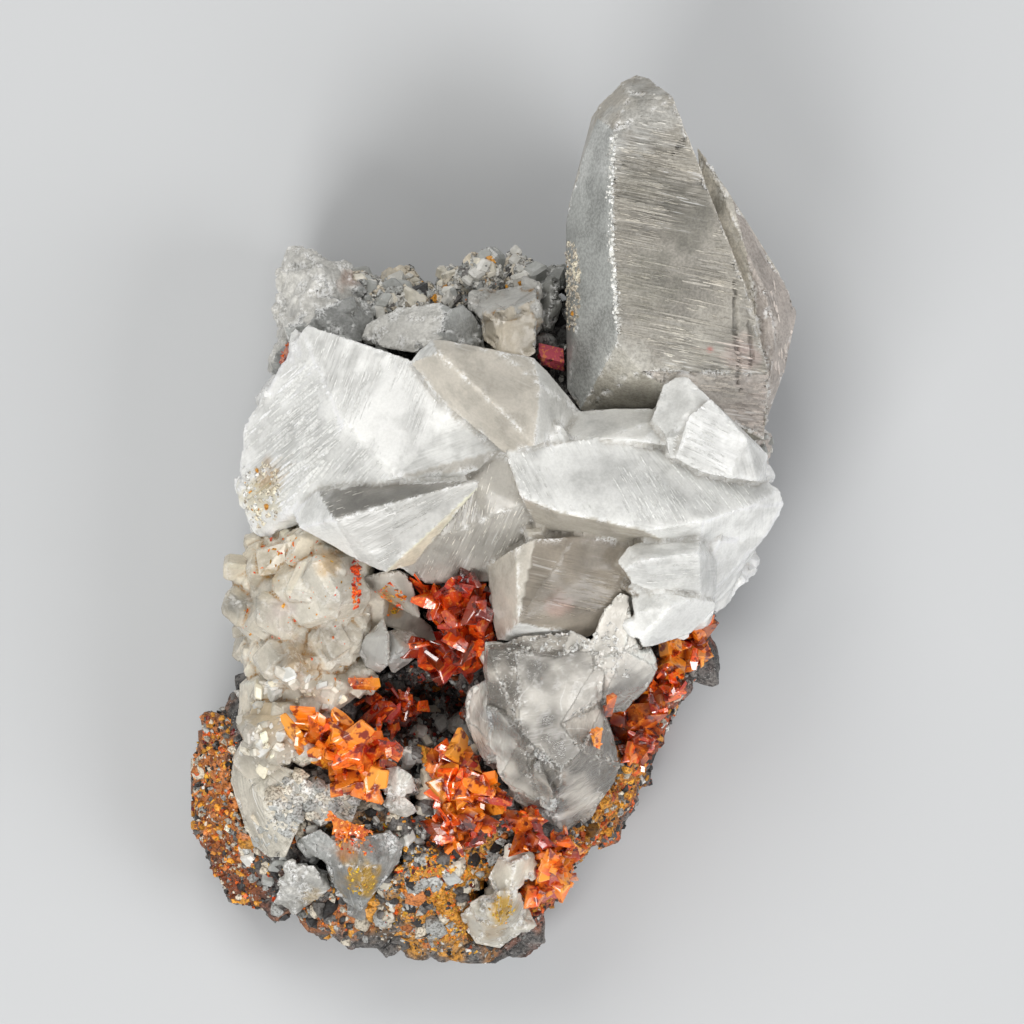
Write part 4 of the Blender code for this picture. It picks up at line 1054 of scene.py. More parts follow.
dice = np.random.default_rng(77)
cluster = dressed(CLUSTER, 0.315, [
    (33.5, 39.5, 73, MILK, 0.0, 0.8),
    (28.5, 44.0, 20, SNOW, 0.0, 0.9),
    (37.8, 39.7, 73, MILK, 0.0, 0.8),
    (40.0, 43.5, 70, PALE, 0.05, 0.8),
    (26.0, 49.0, 40, CREAM, 0.0, 0.2),
    (46.0, 36.5, -28, BEIGE, 0.10, 0.3),
    (52.0, 38.0, -28, BEIGE, 0.10, 0.3),
    (50.0, 40.0, -28, PALE, 0.10, 0.3),
    (36.0, 49.5, 6, (156, 153, 146), 0.40, 0.4),
    (42.5, 51.0, 35, FOG, 0.0, 0.8),
    (38.5, 54.0, 35, FOG, 0.0, 0.8),
    (41.5, 55.5, 50, CREAM, 0.1, 0.3),
    (35.0, 47.5, 40, MILK, 0.0, 0.9),
    (42.5, 48.0, 20, MILK, 0.1, 0.5),
    (34.0, 53.5, 40, SNOW, 0.0, 0.4),
    (32.5, 51.5, 60, SNOW, 0.0, 0.4),
    (39.5, 58.0, 60, CREAM, 0.15, 0.2),
    (48.0, 53.0, 72, MIST, 0.25, 0.8),
    (47.5, 50.4, 72, MIST, 0.25, 0.8),
    (49.0, 48.0, 72, MIST, 0.20, 0.8),
    (59.6, 48.3, -62, MILK, 0.0, 0.5),
    (58.7, 52.8, -14, (184, 178, 166), 0.10, 0.4),
    (66.0, 50.0, -62, MILK, 0.0, 0.6),
    (70.3, 48.5, -62, MILK, 0.0, 0.5),
    (68.0, 43.5, -25, MILK, 0.0, 0.5),
    (73.5, 44.0, -25, MILK, 0.0, 0.5),
    (60.0, 43.0, 20, PALE, 0.05, 0.4),
    # the right wedge's faces take the whitest tone because the side light falls on them: painted light
    (75.5, 50.0, -60, SNOW, 0.0, 0.4),
    (74.5, 54.0, -60, SNOW, 0.0, 0.4),
    (56.0, 58.5, -14, UMBER, 0.30, 1.0),
    (50.5, 59.5, 80, BEIGE, 0.10, 0.4),
    (66.0, 56.5, -10, MILK, 0.05, 0.6),
    (66.0, 59.0, -45, SNOW, 0.0, 0.8),
    (67.5, 61.5, 20, MILK, 0.0, 0.1),
    (62.0, 64.5, 70, MIST, 0.20, 0.4),
    (54.0, 63.0, 0, MILK, 0.0, 0.3),
], white_calcite, "white_calcite", [
    (27.0, 47.6, 1.9, (182, 146, 92), 0.7),
    (26.0, 50.0, 2.6, (208, 194, 150), 0.5),
    (37.6, 59.0, 1.6, (188, 134, 46), 0.7),
    (56.2, 60.4, 1.8, (205, 172, 160), 0.5),
    (31.0, 47.5, 3.5, (232, 232, 228), 0.6),
], [
    *[plug(CLUSTER, *gap) for gap in GAPS],
    grown_on(CLUSTER, "block", 150, 2.0, 6.0, dice, low_only=True),
], steps=0.35, bites=0.12, patches=0.06, shelf=(0.10, 0.30), foot=0.6, seed=7)
laths(cluster, "cluster_laths", [
    (33.5, 39.5, 330, 3.2, 0.16, 0.05, 0.05, 1.0),
    (28.5, 44.0, 520, 5.0, 0.36, 0.10, 0.10, 1.0),
    (37.8, 39.7, 160, 3.2, 0.16, 0.05, 0.05, 1.0),
    (40.0, 43.5, 160, 3.0, 0.16, 0.05, 0.05, 1.0),
    (36.0, 49.5, 60, 1.6, 0.14, 0.05, 0.10, 1.3),
    (42.5, 51.0, 170, 3.0, 0.18, 0.05, 0.07, 1.0),
    (38.5, 54.0, 150, 3.0, 0.18, 0.05, 0.07, 1.0),
    (48.0, 53.0, 200, 1.8, 0.12, 0.05, 0.12, 1.25),
    (47.5, 50.4, 80, 1.8, 0.12, 0.05, 0.12, 1.25),
    (49.0, 48.0, 80, 1.6, 0.12, 0.05, 0.12, 1.2),
    (35.0, 47.5, 120, 3.4, 0.24, 0.08, 0.09, 1.0),
    (59.6, 48.3, 260, 2.2, 0.16, 0.07, 0.08, 0.98),
    (66.0, 50.0, 240, 2.8, 0.18, 0.07, 0.08, 0.98),
    (70.3, 48.5, 120, 2.4, 0.18, 0.07, 0.08, 0.98),
    (73.5, 44.0, 110, 2.4, 0.16, 0.07, 0.08, 0.98),
    (68.0, 43.5, 60, 2.0, 0.16, 0.07, 0.08, 0.98),
    (56.0, 58.5, 200, 3.0, 0.10, 0.04, 0.08, 1.1),
    (66.0, 59.0, 130, 2.4, 0.14, 0.05, 0.08, 1.05),
], 53)

# %% [markdown]
# ## The clear broken crystal
#
# This crystal lies lower right, broken across, with curved fracture faces and cloudy veils inside. Its
# finish lets more light through than the others do.

# %% Clear crystal
clear_calcite = calcite("clear_calcite", plates=0.05, lines=0.1, dashes=0.2, gloss=0.12, clear_gloss=0.04,
                        relief=0.12, grain=0.2, clouds=0.35, veins=0.35, wear=0.7, ripple=2.5)

ICE = (232, 227, 218)
GLASSY = (218, 211, 200)

dressed("clear_calcite_crystal", 0.20, [
    (55.1, 70.0, 10, ICE, 0.72, 0.6),
    (51.0, 66.5, 5, GLASSY, 0.80, 0.6),
    (50.1, 73.7, 60, ICE, 0.75, 0.6),
    (47.8, 70.9, 80, ICE, 0.6, 0.6),
    (58.3, 79.0, 40, GLASSY, 0.75, 0.6),
    (62.8, 68.4, -50, ICE, 0.6, 0.6),
    (60.3, 74.0, 60, GLASSY, 0.75, 0.6),
    (61.2, 62.8, 70, ICE, 0.4, 0.6),
    (53.0, 77.0, 50, GLASSY, 0.80, 0.6),
], clear_calcite, "clear_calcite", [
    (49.0, 71.5, 1.2, (232, 232, 230), 0.8),
    (55.0, 81.0, 2.0, (230, 231, 230), 0.6),
], [
    grown_on("clear_calcite_crystal", "block", 60, 1.5, 5.0, dice, low_only=True),
], steps=0.45, bites=0.5, lumps=0.16, foot=0.5, shelf=(0.16, 0.34), seed=11)

# %% [markdown]
# ## The ridge behind, the slab and the small calcites
#
# The ridge at the upper left is lumpy and sugary. The slab at the lower left is a bundle of fine white
# fibres. The small crystals further down sit in the crumbs of the rock.

# %% Ridge, slab and small calcites
SUGAR = (214, 212, 206)
ASH = (174, 175, 172)
SAND = (208, 198, 180)
SOOT = (92, 92, 90)
DUSK = (136, 136, 131)
CHALK = (214, 208, 194)
YELLOW = (216, 168, 40)
BUTTER = (224, 214, 194)
HAZE = (216, 208, 192)

sugary_finish = calcite("sugary_calcite", plates=0.1, lines=0.1, dashes=0.2, relief=0.12, grain=1.4)
smoky_finish = calcite("smoky_calcite", plates=0.2, lines=0.2, dashes=0.2, relief=0.08)
fibre_finish = calcite("fibrous_calcite", plates=0.3, lines=0.5, dashes=0.8, gloss=0.35, relief=0.12,
                       grain=1.2)
cream_finish = calcite("cream_calcite", plates=0.1, lines=0.1, dashes=0.2, gloss=0.14, relief=0.05, grain=0.5,
                       clouds=0.25, wear=0.3, ripple=1.5, crease_dirt_and_shade_share=0.95, crease_dirt_and_shade=(0.46, 0.24, 0.06, 1))
tooth_finish = calcite("dog_tooth_calcite", plates=0.1, lines=0.2, dashes=0.1, gloss=0.10, relief=0.04,
                       grain=0.3, wear=0.5, ripple=1.0)


def sugared(node, count, largest):
    """Small blocks all over a node."""
    return [grown_on(node, "block", count, 0.7, largest, dice, lean=0.5)]


dressed("upper_left_calcite", 0.20, [(31.0, 29.0, 60, SUGAR, 0.2, 0.4), (34.5, 32.0, 20, ASH, 0.35, 0.4)],
        sugary_finish, "grey_calcite", [(35.0, 28.0, 1.4, (170, 120, 90), 0.5)],
        sugared("upper_left_calcite", 150, 4.0), steps=0.2, bites=0.3, lumps=0.12, mottle=0.10, seed=21)
dressed("sugary_calcite", 0.18, [(41.0, 33.0, 30, SUGAR, 0.1, 0.4), (46.5, 33.0, 86, ASH, 0.3, 0.4)],
        sugary_finish, "grey_calcite", (), sugared("sugary_calcite", 90, 1.7),
        steps=0.12, bites=0.3, lumps=0.08, mottle=0.08, seed=23)
dressed("blocky_calcite", 0.22, [(52.0, 33.0, 20, SAND, 0.3, 0.4), (52.2, 30.0, 20, SUGAR, 0.3, 0.4)],
        cream_finish, "cream_calcite", (), sugared("blocky_calcite", 40, 3.2),
        steps=0.20, bites=0.4, lumps=0.08, mottle=0.08, seed=25)
dressed("smoky_calcite", 0.22, [(55.4, 31.0, 20, DUSK, 0.2, 0.4)],
        smoky_finish, "smoky_calcite", (), sugared("smoky_calcite", 40, 2.6),
        steps=0.20, bites=0.4, lumps=0.10, seed=27)
slab = dressed("fibrous_calcite_slab", 0.18, [
    (26.0, 78.0, -72, CHALK, 0.1, 1.0),
    (30.0, 79.0, -40, CHALK, 0.15, 0.8),
], fibre_finish, "white_calcite", [
    (30.5, 80.5, 2.5, ASH, 0.6),
], [
    grown_on("fibrous_calcite_slab", "block", 60, 0.8, 2.6, dice, low_only=True),
], steps=0.12, bites=0.7, lumps=0.10, seed=29)
laths(slab, "slab_fibres", [
    (26.0, 78.0, 700, 3.0, 0.14, 0.10, 0.10, 1.04),
], 59)
dressed("grey_calcite_tooth", 0.20, [(36.5, 87.0, 70, ASH, 0.45, 0.4)], grey_calcite, "grey_calcite",
        [(36.0, 88.0, 2.2, YELLOW, 0.95), (34.5, 84.5, 1.6, (200, 130, 60), 0.7)],
        [grown_on("grey_calcite_tooth", "block", 24, 1.0, 3.0, dice)], steps=0.15, bites=0.4, seed=33)
dressed("small_grey_calcite", 0.20, [(40.0, 80.5, 60, ICE, 0.5, 0.4)], grey_calcite, "grey_calcite",
        (), [grown_on("small_grey_calcite", "block", 14, 1.0, 2.4, dice)], steps=0.10, bites=0.3, seed=35)
dressed("lower_left_calcite", 0.20, [(30.0, 88.5, 20, SUGAR, 0.3, 0.4)], sugary_finish, "grey_calcite",
        [(31.0, 90.0, 1.4, (180, 150, 90), 0.6)], sugared("lower_left_calcite", 60, 2.6),
        steps=0.15, bites=0.4, lumps=0.10, seed=37)
dressed("lower_right_calcite", 0.20, [(50.0, 90.0, 70, CHALK, 0.3, 0.4)], white_calcite, "white_calcite",
        [(50.5, 90.5, 1.4, YELLOW, 0.9), (50.0, 91.8, 1.2, YELLOW, 0.8),
         (49.0, 93.5, 1.5, (190, 160, 110), 0.6)],
        [grown_on("lower_right_calcite", "block", 30, 1.2, 3.4, dice)],
        steps=0.20, bites=0.5, mottle=0.08, seed=39)
dressed("dog_tooth_calcite", 0.20, [(40.0, 62.0, 70, BEIGE, 0.45, 0.4), (38.5, 65.0, 60, PALE, 0.45, 0.4)],
        tooth_finish, "clear_calcite", [(38.8, 60.2, 1.6, (196, 140, 48), 0.8)],
        steps=0.10, bites=0.3, swell=0.08, mottle=0.12, seed=41)

# %% [markdown]
# ## The druse
#
# Dozens of blunt crystals have grown into each other at the lower left. They are set on the CAD solid and
# remeshed with it, so their seams are real creases, and an orange-brown film sits in them.

# %% Druse
dressed("calcite_druse", 0.18, [
    (33.4, 62.9, 20, HAZE, 0.25, 0.3), (26.5, 64.7, 80, HAZE, 0.35, 0.3), (28.9, 56.9, 40, BUTTER, 0.15, 0.3),
    (31.6, 56.2, 30, CHALK, 0.2, 0.3),
], cream_finish, "cream_calcite", [
    (28.0, 61.0, 2.0, (196, 182, 176), 0.6), (26.8, 57.5, 1.0, (206, 170, 100), 0.5),
    (27.0, 72.0, 3.0, (214, 180, 120), 0.4), (24.2, 60.0, 2.4, (150, 148, 141), 0.7),
    (30.0, 66.0, 2.2, (214, 164, 84), 0.4), (33.0, 56.0, 1.6, (206, 160, 84), 0.5),
], [
    grown_on("calcite_druse", "block", 110, 2.6, 7.0, dice, lean=0.25, sink=0.3),
    grown_on("calcite_druse", "block", 130, 0.9, 2.6, dice, lean=0.5, sink=0.0),
], steps=0.04, bites=0.08, lumps=0.02, mottle=0.14, seed=43)

# %% [markdown]
# ## Rock
#
# The rock is dark grey and granular. Crusts lie on its two flanks, at its foot and along the ridge:
# brown, orange, yellow and, on the ridge, pale grey. They are too thin for solids of their own, so they
# are colour on the rock, with crumbs on top. Each crust is an ellipse on the sheet with a ragged border.

# %% Where the crusts lie
RUST = (128, 62, 24)
SIENNA = (196, 120, 60)
OCHRE = (218, 152, 54)
EMBER = (220, 98, 32)
GRIT = (104, 101, 98)
COAL = (48, 46, 46)

# middle right and down, half length, half width, turn in degrees, colour, how strong
CRUSTS = [
    (21.8, 80.0, 12.0, 3.2, -80, SIENNA, 0.9),
    (23.5, 88.0, 5.5, 2.6, -60, RUST, 0.7),
    (45.5, 90.0, 7.5, 6.0, 20, OCHRE, 0.95),
    (33.0, 92.0, 4.0, 2.0, 0, SIENNA, 0.8),
    (36.0, 84.0, 4.0, 2.5, 0, OCHRE, 0.5),
    (55.0, 88.0, 6.0, 2.2, 55, EMBER, 0.8),
    (63.0, 76.0, 12.0, 3.0, 62, EMBER, 0.7),
    (60.6, 80.0, 6.0, 2.6, 62, OCHRE, 0.8),
    (43.0, 70.0, 5.0, 4.0, 0, RUST, 0.4),
    (46.0, 29.0, 15.0, 6.0, 0, ASH, 0.9),
]


def crusted(points, wobble):
    """How strongly each crust lies over each point. The crusts have ragged borders and thin out downwards."""
    thinning = ramp(points[:, 2] + 6 * rugged(points * 0.28, 91), -1.0, 8.0)
    shares = []
    for right, down, length, width, turn, colour, strength in CRUSTS:
        angle = math.radians(turn)
        away = points[:, :2] * [1, -1] + np.array([SHEET_RIGHT - right, SHEET_DOWN - down])
        along = away[:, 0] * math.cos(angle) - away[:, 1] * math.sin(angle)
        across = away[:, 0] * math.sin(angle) + away[:, 1] * math.cos(angle)
        reach = np.hypot(along / length, across / width) + 0.45 * wobble
        shares.append(strength * thinning * (1 - ramp(reach, 0.5, 1.3)))
    return shares


print("crusts on the rock:", len(CRUSTS))

# %% [markdown]
# ### The rock's finish
#
# Broken rock is matt, with a few grains that catch the light. Coarse noise darkens the tone in spots, and
# fine noise picks the bright grains, which are also the smooth ones.

# %% Rock finish
def granular(name):
    """Dark granular rock whose crusts come from the tone attribute."""
    board = Board(name)
    tone = board.attribute("tone", "Color")
    place = board.place()
    grit = board.noise(place, 2.2, 3.0, 0.7)
    sparkle = board.noise(place, 6.0, 1.0, 0.5)
    body = board.mixed(grit.between(0.36, 0.60), board.tinted(tone, (0.25, 0.25, 0.26, 1)), tone)
    colour = board.mixed(sparkle.between(0.66, 0.72) * 0.6, body, (0.50, 0.50, 0.50, 1))
    bump = board.bump(grit + sparkle * 0.3, 0.9, 0.25)
    return board.finish(board.principled({
        "Base Color": colour, "Roughness": 0.75 - sparkle.between(0.62, 0.72) * 0.45, "Normal": bump}))


rock_finish = granular("granular_rock")

# %% [markdown]
# ### Stones and lumps on the rock
#
# The CAD rock has the large forms only. Stones and blocks are set on all its sides and remeshed with it,
# so they sit in it and not on it, and noise roughens the ground between them. The creases get a painted
# shade that darkens them, and the edges a painted highlight that makes them pale.

# %% Rock
ROCK_SWELL = 0.05
ROCK_LUMPS = 0.22

rock = Crystal("rock", 0.43, [
    grown_on("rock", "chunk", 900, 1.6, 6.0, dice, lean=0.6, sink=0.25),
    grown_on("rock", "block", 260, 1.4, 4.5, dice, lean=0.8, sink=0.2),
])
base_tone = linear(*GRIT) * np.clip(1 + 0.5 * rugged(rock.points * 0.4, 61), 0.35, 1.6)[:, None]
# painted shade darkens the creases and a painted highlight makes the edges pale
base_tone *= 1 - 0.45 * rock.crease[:, None] + 0.25 * (1 - ramp(rock.edge, 0.1, 0.8))[:, None]
rusty = 0.6 * ramp(rugged(rock.points * 0.2, 65), 0.25, 0.9)[:, None]
base_tone = base_tone * (1 - rusty) + linear(*RUST) * rusty
for share, row in zip(crusted(rock.points, rugged(rock.points * 0.5, 63)), CRUSTS):
    base_tone = base_tone * (1 - share[:, None]) + linear(*row[5]) * share[:, None]
write(rock.mesh, "tone", "FLOAT_COLOR", np.column_stack([base_tone, np.ones(len(base_tone))]))
rough_ground = rugged(rock.points * 0.55, 67, 5) + 0.35 * lattice(rock.points * 2.4, 69)
rock.points += rock.normal * (ROCK_SWELL + ROCK_LUMPS * (rough_ground - 0.4))[:, None]
rock.finish(rock_finish, "rock")
FINE["rock"] = rock

# %% [markdown]
# ### Dropping things on the specimen
#
# Crumbs fall from above and stay where they land, so that is how they are placed: a ray goes down from
# each place, and a crumb stays only if it meets its host before any other piece. The rays meet the fine
# pieces, because on the plain solids the crumbs would drown in the relief.

# %% Places to put them
DROP_HEIGHT = 60

GROUND = {}
for node, fine in FINE.items():
    polygons = [face.vertices[:] for face in fine.mesh.polygons]
    GROUND[node] = BVHTree.FromPolygons(fine.points.tolist(), polygons)
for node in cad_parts:
    if node not in FINE:
        merged = merged_solid(node)
        bmesh.ops.scale(merged, vec=(1 / MM,) * 3, verts=merged.verts)
        GROUND[node] = BVHTree.FromBMesh(merged)
        merged.free()


def landed(host, right, down):
    """Where things dropped on the sheet land on the host, and the way the ground faces there."""
    places, facings = [], []
    for x, y in zip(right - SHEET_RIGHT, SHEET_DOWN - down):
        start = Vector((x, y, DROP_HEIGHT))
        best = GROUND[host].ray_cast(start, DOWN)
        if best[0] is None:
            continue
        others = (ground.ray_cast(start, DOWN)[0] for node, ground in GROUND.items() if node != host)
        if not any(other is not None and other.z > best[0].z for other in others):
            places.append(best[0])
            facings.append(best[1])
    return np.array(places).reshape(-1, 3), np.array(facings).reshape(-1, 3)


def strewn(dice, middle, half, turn, count):
    """Random places in a turned ellipse on the sheet, denser towards its middle."""
    angle = dice.uniform(0, 2 * math.pi, count)
    reach = np.sqrt(dice.random(count))
    along, across = half[0] * reach * np.cos(angle), half[1] * reach * np.sin(angle)
    cosine, sine = math.cos(math.radians(turn)), math.sin(math.radians(turn))
    return middle[0] + along * cosine + across * sine, middle[1] - along * sine + across * cosine


def picked(dice, palette, count, spread_of=0.18):
    """A colour for each copy, from a palette of colours and their shares."""
    shares = np.array([share for colour, share in palette], float)
    tones = np.array([linear(*colour) for colour, share in palette])
    chosen = tones[dice.choice(len(palette), size=count, p=shares / shares.sum())]
    chosen = np.clip(chosen * dice.normal(1, spread_of, (count, 1)), 0.002, 0.95)
    return np.column_stack([chosen, np.ones(count)])


print("grounds to land on:", len(GROUND))

# %% [markdown]
# ## Realgar
#
# Realgar grows as short striated prisms, deep red where they are thick and orange where they are thin or
# worn. The deep red is the orange seen through more of it, so one finish darkens the tone in patches and
# lets orange streaks run along each prism.

# %% Realgar finish
REALGAR_IOR = 2.2
REALGAR_RELIEF = 0.05


def realgar_like(name):
    """Glossy red to orange, with streaks along each prism."""
    board = Board(name)
    tone = board.attribute("tone", "Color")
    place = board.place()
    grain = board.noise(place, 0.9, 2.0, 0.55)
    fleck = board.noise(place, 5.0, 1.0, 0.5)
    streak = board.noise(board.stretched(board.attribute("growth", "Vector"), (2.4, 2.4, 0.5)), 1.0, 2.0, 0.6)
    body = board.mixed(grain.between(0.36, 0.48), board.tinted(tone, (0.26, 0.07, 0.06, 1)), tone)
    red = board.node("ShaderNodeSeparateColor", None, {"Color": tone}, "Red").between(0.2, 0.75)
    streaks = streak.between(0.54, 0.62) * 0.7 * grain.between(0.38, 0.50)
    colour = board.mixed((streaks + fleck.between(0.62, 0.72) * 0.3) * red, body, (0.98, 0.34, 0.04, 1))
    bump = board.bump(grain + fleck * 0.4, 0.7, REALGAR_RELIEF)
    return board.finish(board.principled({
        "Base Color": colour, "Roughness": fleck * 0.2 + 0.05, "Normal": bump, "IOR": REALGAR_IOR}))


realgar_finish = realgar_like("realgar")

# %% [markdown]
# ### Realgar clusters
#
# The CAD clusters hold the large prisms, which keep their sharp faces: only their edges are worn a
# little. A remesh would melt them. Blades and splinters are set on them, each with its own tone, because
# a real cluster has a hundred small crystals for each large one.

# %% Realgar clusters
BLOOD = (120, 20, 12)
RED = (178, 34, 12)
FLAME = (238, 80, 12)
ORANGE = (250, 124, 20)
AMBER = (252, 160, 50)

BRIGHT = [(RED, 1), (FLAME, 4), (ORANGE, 5), (AMBER, 3)]
WARMER = [(BLOOD, 1), (RED, 2), (FLAME, 4), (ORANGE, 4), (AMBER, 2)]
DARK = [(BLOOD, 6), (RED, 5), (FLAME, 1)]
MIXED = [(BLOOD, 2), (RED, 4), (FLAME, 4), (ORANGE, 2)]
DEEP = [(BLOOD, 4), (RED, 4), (FLAME, 2)]

# palette, how many blades, their width and length, and how many splinters
CLUSTERS = {
    "realgar_top_cluster": (DARK, 30, 3.4, 3.6, 24),
    "realgar_pocket_cluster": (DEEP, 20, 1.8, 2.6, 26),
    "realgar_left_cluster": (BRIGHT, 30, 4.6, 3.0, 26),
    "realgar_centre_cluster": (WARMER, 34, 4.0, 2.8, 34),
    "realgar_lower_cluster": (WARMER, 20, 2.8, 2.4, 24),
    "realgar_spray": (MIXED, 12, 1.5, 2.4, 16),
    "realgar_lower_right_cluster": (BRIGHT, 28, 2.8, 2.3, 34),
    "realgar_right_edge_cluster": (MIXED, 28, 3.0, 2.4, 28),
    "realgar_upper_right_cluster": (WARMER, 26, 2.6, 2.2, 28),
    "realgar_prism_under_large_crystal": ([((200, 70, 90), 1)], 0, 0, 0, 0),
    "realgar_prism_left_edge": (MIXED, 4, 0.9, 1.2, 10),
    "realgar_prism_on_druse": (BRIGHT, 6, 0.9, 1.0, 12),
    "realgar_prism_on_clear_crystal": (MIXED, 0, 0, 0, 0),
    "realgar_tuft_on_clear_crystal": (BRIGHT, 7, 0.8, 0.9, 12),
    "realgar_ribbon_lower_left": (BRIGHT, 16, 1.4, 1.2, 24),
}
PRISM_BEVEL = 0.05


def brighter(colours, most, dice):
    """The same colours shifted towards orange, for the thin ends."""
    share = dice.uniform(0.0, most, (len(colours), 1))
    return colours * (1 - share) + np.append(linear(*AMBER), 1.0) * share


def bristle(name, shape, node, count, width, length, sink, palette, dice):
    """Realgar blades or splinters that stand on the skin of a node."""
    places, facings = spread(node, count, dice)
    many = len(places)
    sizes = np.column_stack([
        dice.uniform(0.5, 1.1, many) * width, dice.uniform(0.3, 0.7, many) * width,
        dice.uniform(0.4, 1.0, many) * length])
    turns = turns_of(facings + dice.normal(0, 0.45, (many, 3)), dice.uniform(0, FULL_TURN, many))
    colours = picked(dice, palette, many)
    joined(name, shape, places - facings * sink, turns, sizes, colours, realgar_finish,
           brighter(colours, 0.8 if palette is BRIGHT else 0.12, dice))


dice = np.random.default_rng(12)
for node, (palette, blades, width, length, splinters) in CLUSTERS.items():
    body = merged_solid(node)
    bmesh.ops.dissolve_limit(body, angle_limit=math.radians(2), verts=body.verts, edges=body.edges)
    bmesh.ops.bevel(body, geom=[edge for edge in body.edges if edge.calc_face_angle(0) > EDGE_BEND],
                    offset=PRISM_BEVEL * MM, affect="EDGES", segments=1, profile=0.5, material=-1,
                    clamp_overlap=True)
    mesh = bpy.data.meshes.new("sharp_" + node)
    body.to_mesh(mesh)
    body.free()
    points = np.array([vert.co for vert in mesh.vertices]) / MM
    share = ramp(rugged(points * 0.5, 71), -0.6, 0.6)[:, None]
    colours = linear(*palette[0][0]) * (1 - share) + linear(*palette[-1][0]) * share
    write(mesh, "tone", "FLOAT_COLOR", np.column_stack([colours, np.ones(len(points))]))
    write(mesh, "growth", "FLOAT_VECTOR", points)
    mesh.materials.append(realgar_finish)
    piece = bpy.data.objects.new("sharp_" + node, mesh)
    bpy.context.scene.collection.objects.link(piece)
    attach(piece, "root")
    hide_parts(node)
    print(piece.name, "has", len(mesh.polygons), "faces")
    if blades:
        bristle("blades_" + node, "blade", node, blades, width, length, 0.5, palette, dice)
        bristle("splinters_" + node, "prism", node, splinters, 0.4 * width, 0.5 * length, 0.2, palette, dice)

# %% [markdown]
# ## Crumbs
#
# The rock breaks into crumbs of every size: black and grey grains, clear angular bits of calcite, and
# orange and yellow flakes where the crusts lie. Their finish is matt, with the tone darkened in spots.

# %% Crumb finish
def crumbly(name):
    """Matt crumbs: the tone, darker in spots."""
    board = Board(name)
    tone = board.attribute("tone", "Color")
    grit = board.noise(board.place(), 3.5, 2.0, 0.65)
    colour = board.mixed(grit.between(0.34, 0.58), board.tinted(tone, (0.35, 0.33, 0.31, 1)), tone)
    bump = board.bump(grit, 0.8, 0.08)
    return board.finish(board.principled({
        "Base Color": colour, "Roughness": grit * 0.4 + 0.22, "Normal": bump}))


crumb_finish = crumbly("crumbs")

# %% [markdown]
# ### Finish of the small clean crystals
#
# The small blocks of calcite between the crumbs are clean and look wet. Real transmission in hundreds of
# small crystals would cost much light and time, so they are opaque, a little clouded and glossy.

# %% Finish of the small clean crystals
def clean_like(name):
    """Small pale crystals: the tone, a little clouded, with a wet gloss."""
    board = Board(name)
    tone = board.attribute("tone", "Color")
    cloud = board.noise(board.place(), 1.1, 2.0, 0.6)
    colour = board.mixed(cloud.between(0.60, 0.40) * 0.5, tone, board.tinted(tone, (0.66, 0.66, 0.63, 1)))
    return board.finish(board.principled({
        "Base Color": colour, "Roughness": cloud * 0.3 + 0.06, "IOR": CALCITE_IOR}))


clean_finish = clean_like("small_clear_crystals")

# %% [markdown]
# ### Crumbs all over the rock
#
# Grains, chunks and flakes cover all sides of the rock, most of them small. Where a crust lies, a crumb
# takes the crust's colours, and elsewhere those of plain rock.

# %% Crumbs all over the rock
FROSTY = [(SUGAR, 3), (SAND, 2), (GRIT, 1.5), (OCHRE, 0.4), (COAL, 0.5)]
ROASTED = [(EMBER, 1.2), (OCHRE, 2), (AMBER, 1.2), (BLOOD, 0.5), (COAL, 0.8), (SAND, 1.8), (ASH, 1.2)]
GREYS = [(COAL, 3), (SOOT, 3), (GRIT, 3), (ASH, 1.5), (SUGAR, 0.8)]
ROCK_CRUMBS = [("crumb", 4200, 0.3, 1.3), ("chunk", 2400, 0.6, 3.4), ("flake", 3600, 0.3, 1.1)]


def rubble(name, shape, places, facings, smallest, largest, colours, dice, sink=0.3,
           finish=crumb_finish):
    """Copies of a shape set into the ground, most of them small."""
    many = len(places)
    scale = smallest + (largest - smallest) * dice.random(many) ** 2.5
    sizes = scale[:, None] * dice.uniform(0.6, 1.2, (many, 3))
    turns = turns_of(facings + dice.normal(0, 0.5, (many, 3)), dice.uniform(0, FULL_TURN, many))
    joined(name, shape, places - facings * (sink * scale[:, None]), turns, sizes, colours, finish)


def ground_tones(places, dice, plain):
    """Crumb colours: the crust's own where one lies, and a plain palette elsewhere."""
    count = len(places)
    colours = picked(dice, plain, count, 0.3)
    for share, row in zip(crusted(places, 0.6 * rugged(places * 0.6, 63)), CRUSTS):
        coated = dice.random(count) < share
        crust = picked(dice, [(row[5], 4)] + (FROSTY if row[5] is ASH else ROASTED), count, 0.25)
        colours[coated] = crust[coated]
    return colours


dice = np.random.default_rng(5)
for shape, count, smallest, largest in ROCK_CRUMBS:
    places, facings = spread("rock", count, dice, 0.8)
    colours = ground_tones(places, dice, GREYS)
    rubble("rock_" + shape, shape, places + facings * 0.25, facings, smallest, largest, colours, dice)

# %% [markdown]
# ### Crumbs in the places that the eye goes to
#
# The crusts, the pocket, the ridge and the feet of the crystals have crumbs of their own, closer together
# than elsewhere. Each patch is a turned ellipse on the sheet that is denser towards its middle, with its
# own palette.

# %% Crumbs in the places that the eye goes to
STONES = [(COAL, 2), (GRIT, 3), (ASH, 3), (SAND, 2), (SIENNA, 1), (OCHRE, 1)]
CLEAN = [(ASH, 4), (SUGAR, 3), (CHALK, 2), (SAND, 1.5)]
CREAMY = [(CREAM, 2), (CHALK, 3), (PALE, 3), (BEIGE, 2), (SUGAR, 2)]
WHITE = [(MILK, 3), (PALE, 2)]
SPECKS = [(ORANGE, 3), (FLAME, 2), (OCHRE, 2), (YELLOW, 2)]
SUN = [(YELLOW, 4), ((232, 190, 30), 4), (OCHRE, 1)]

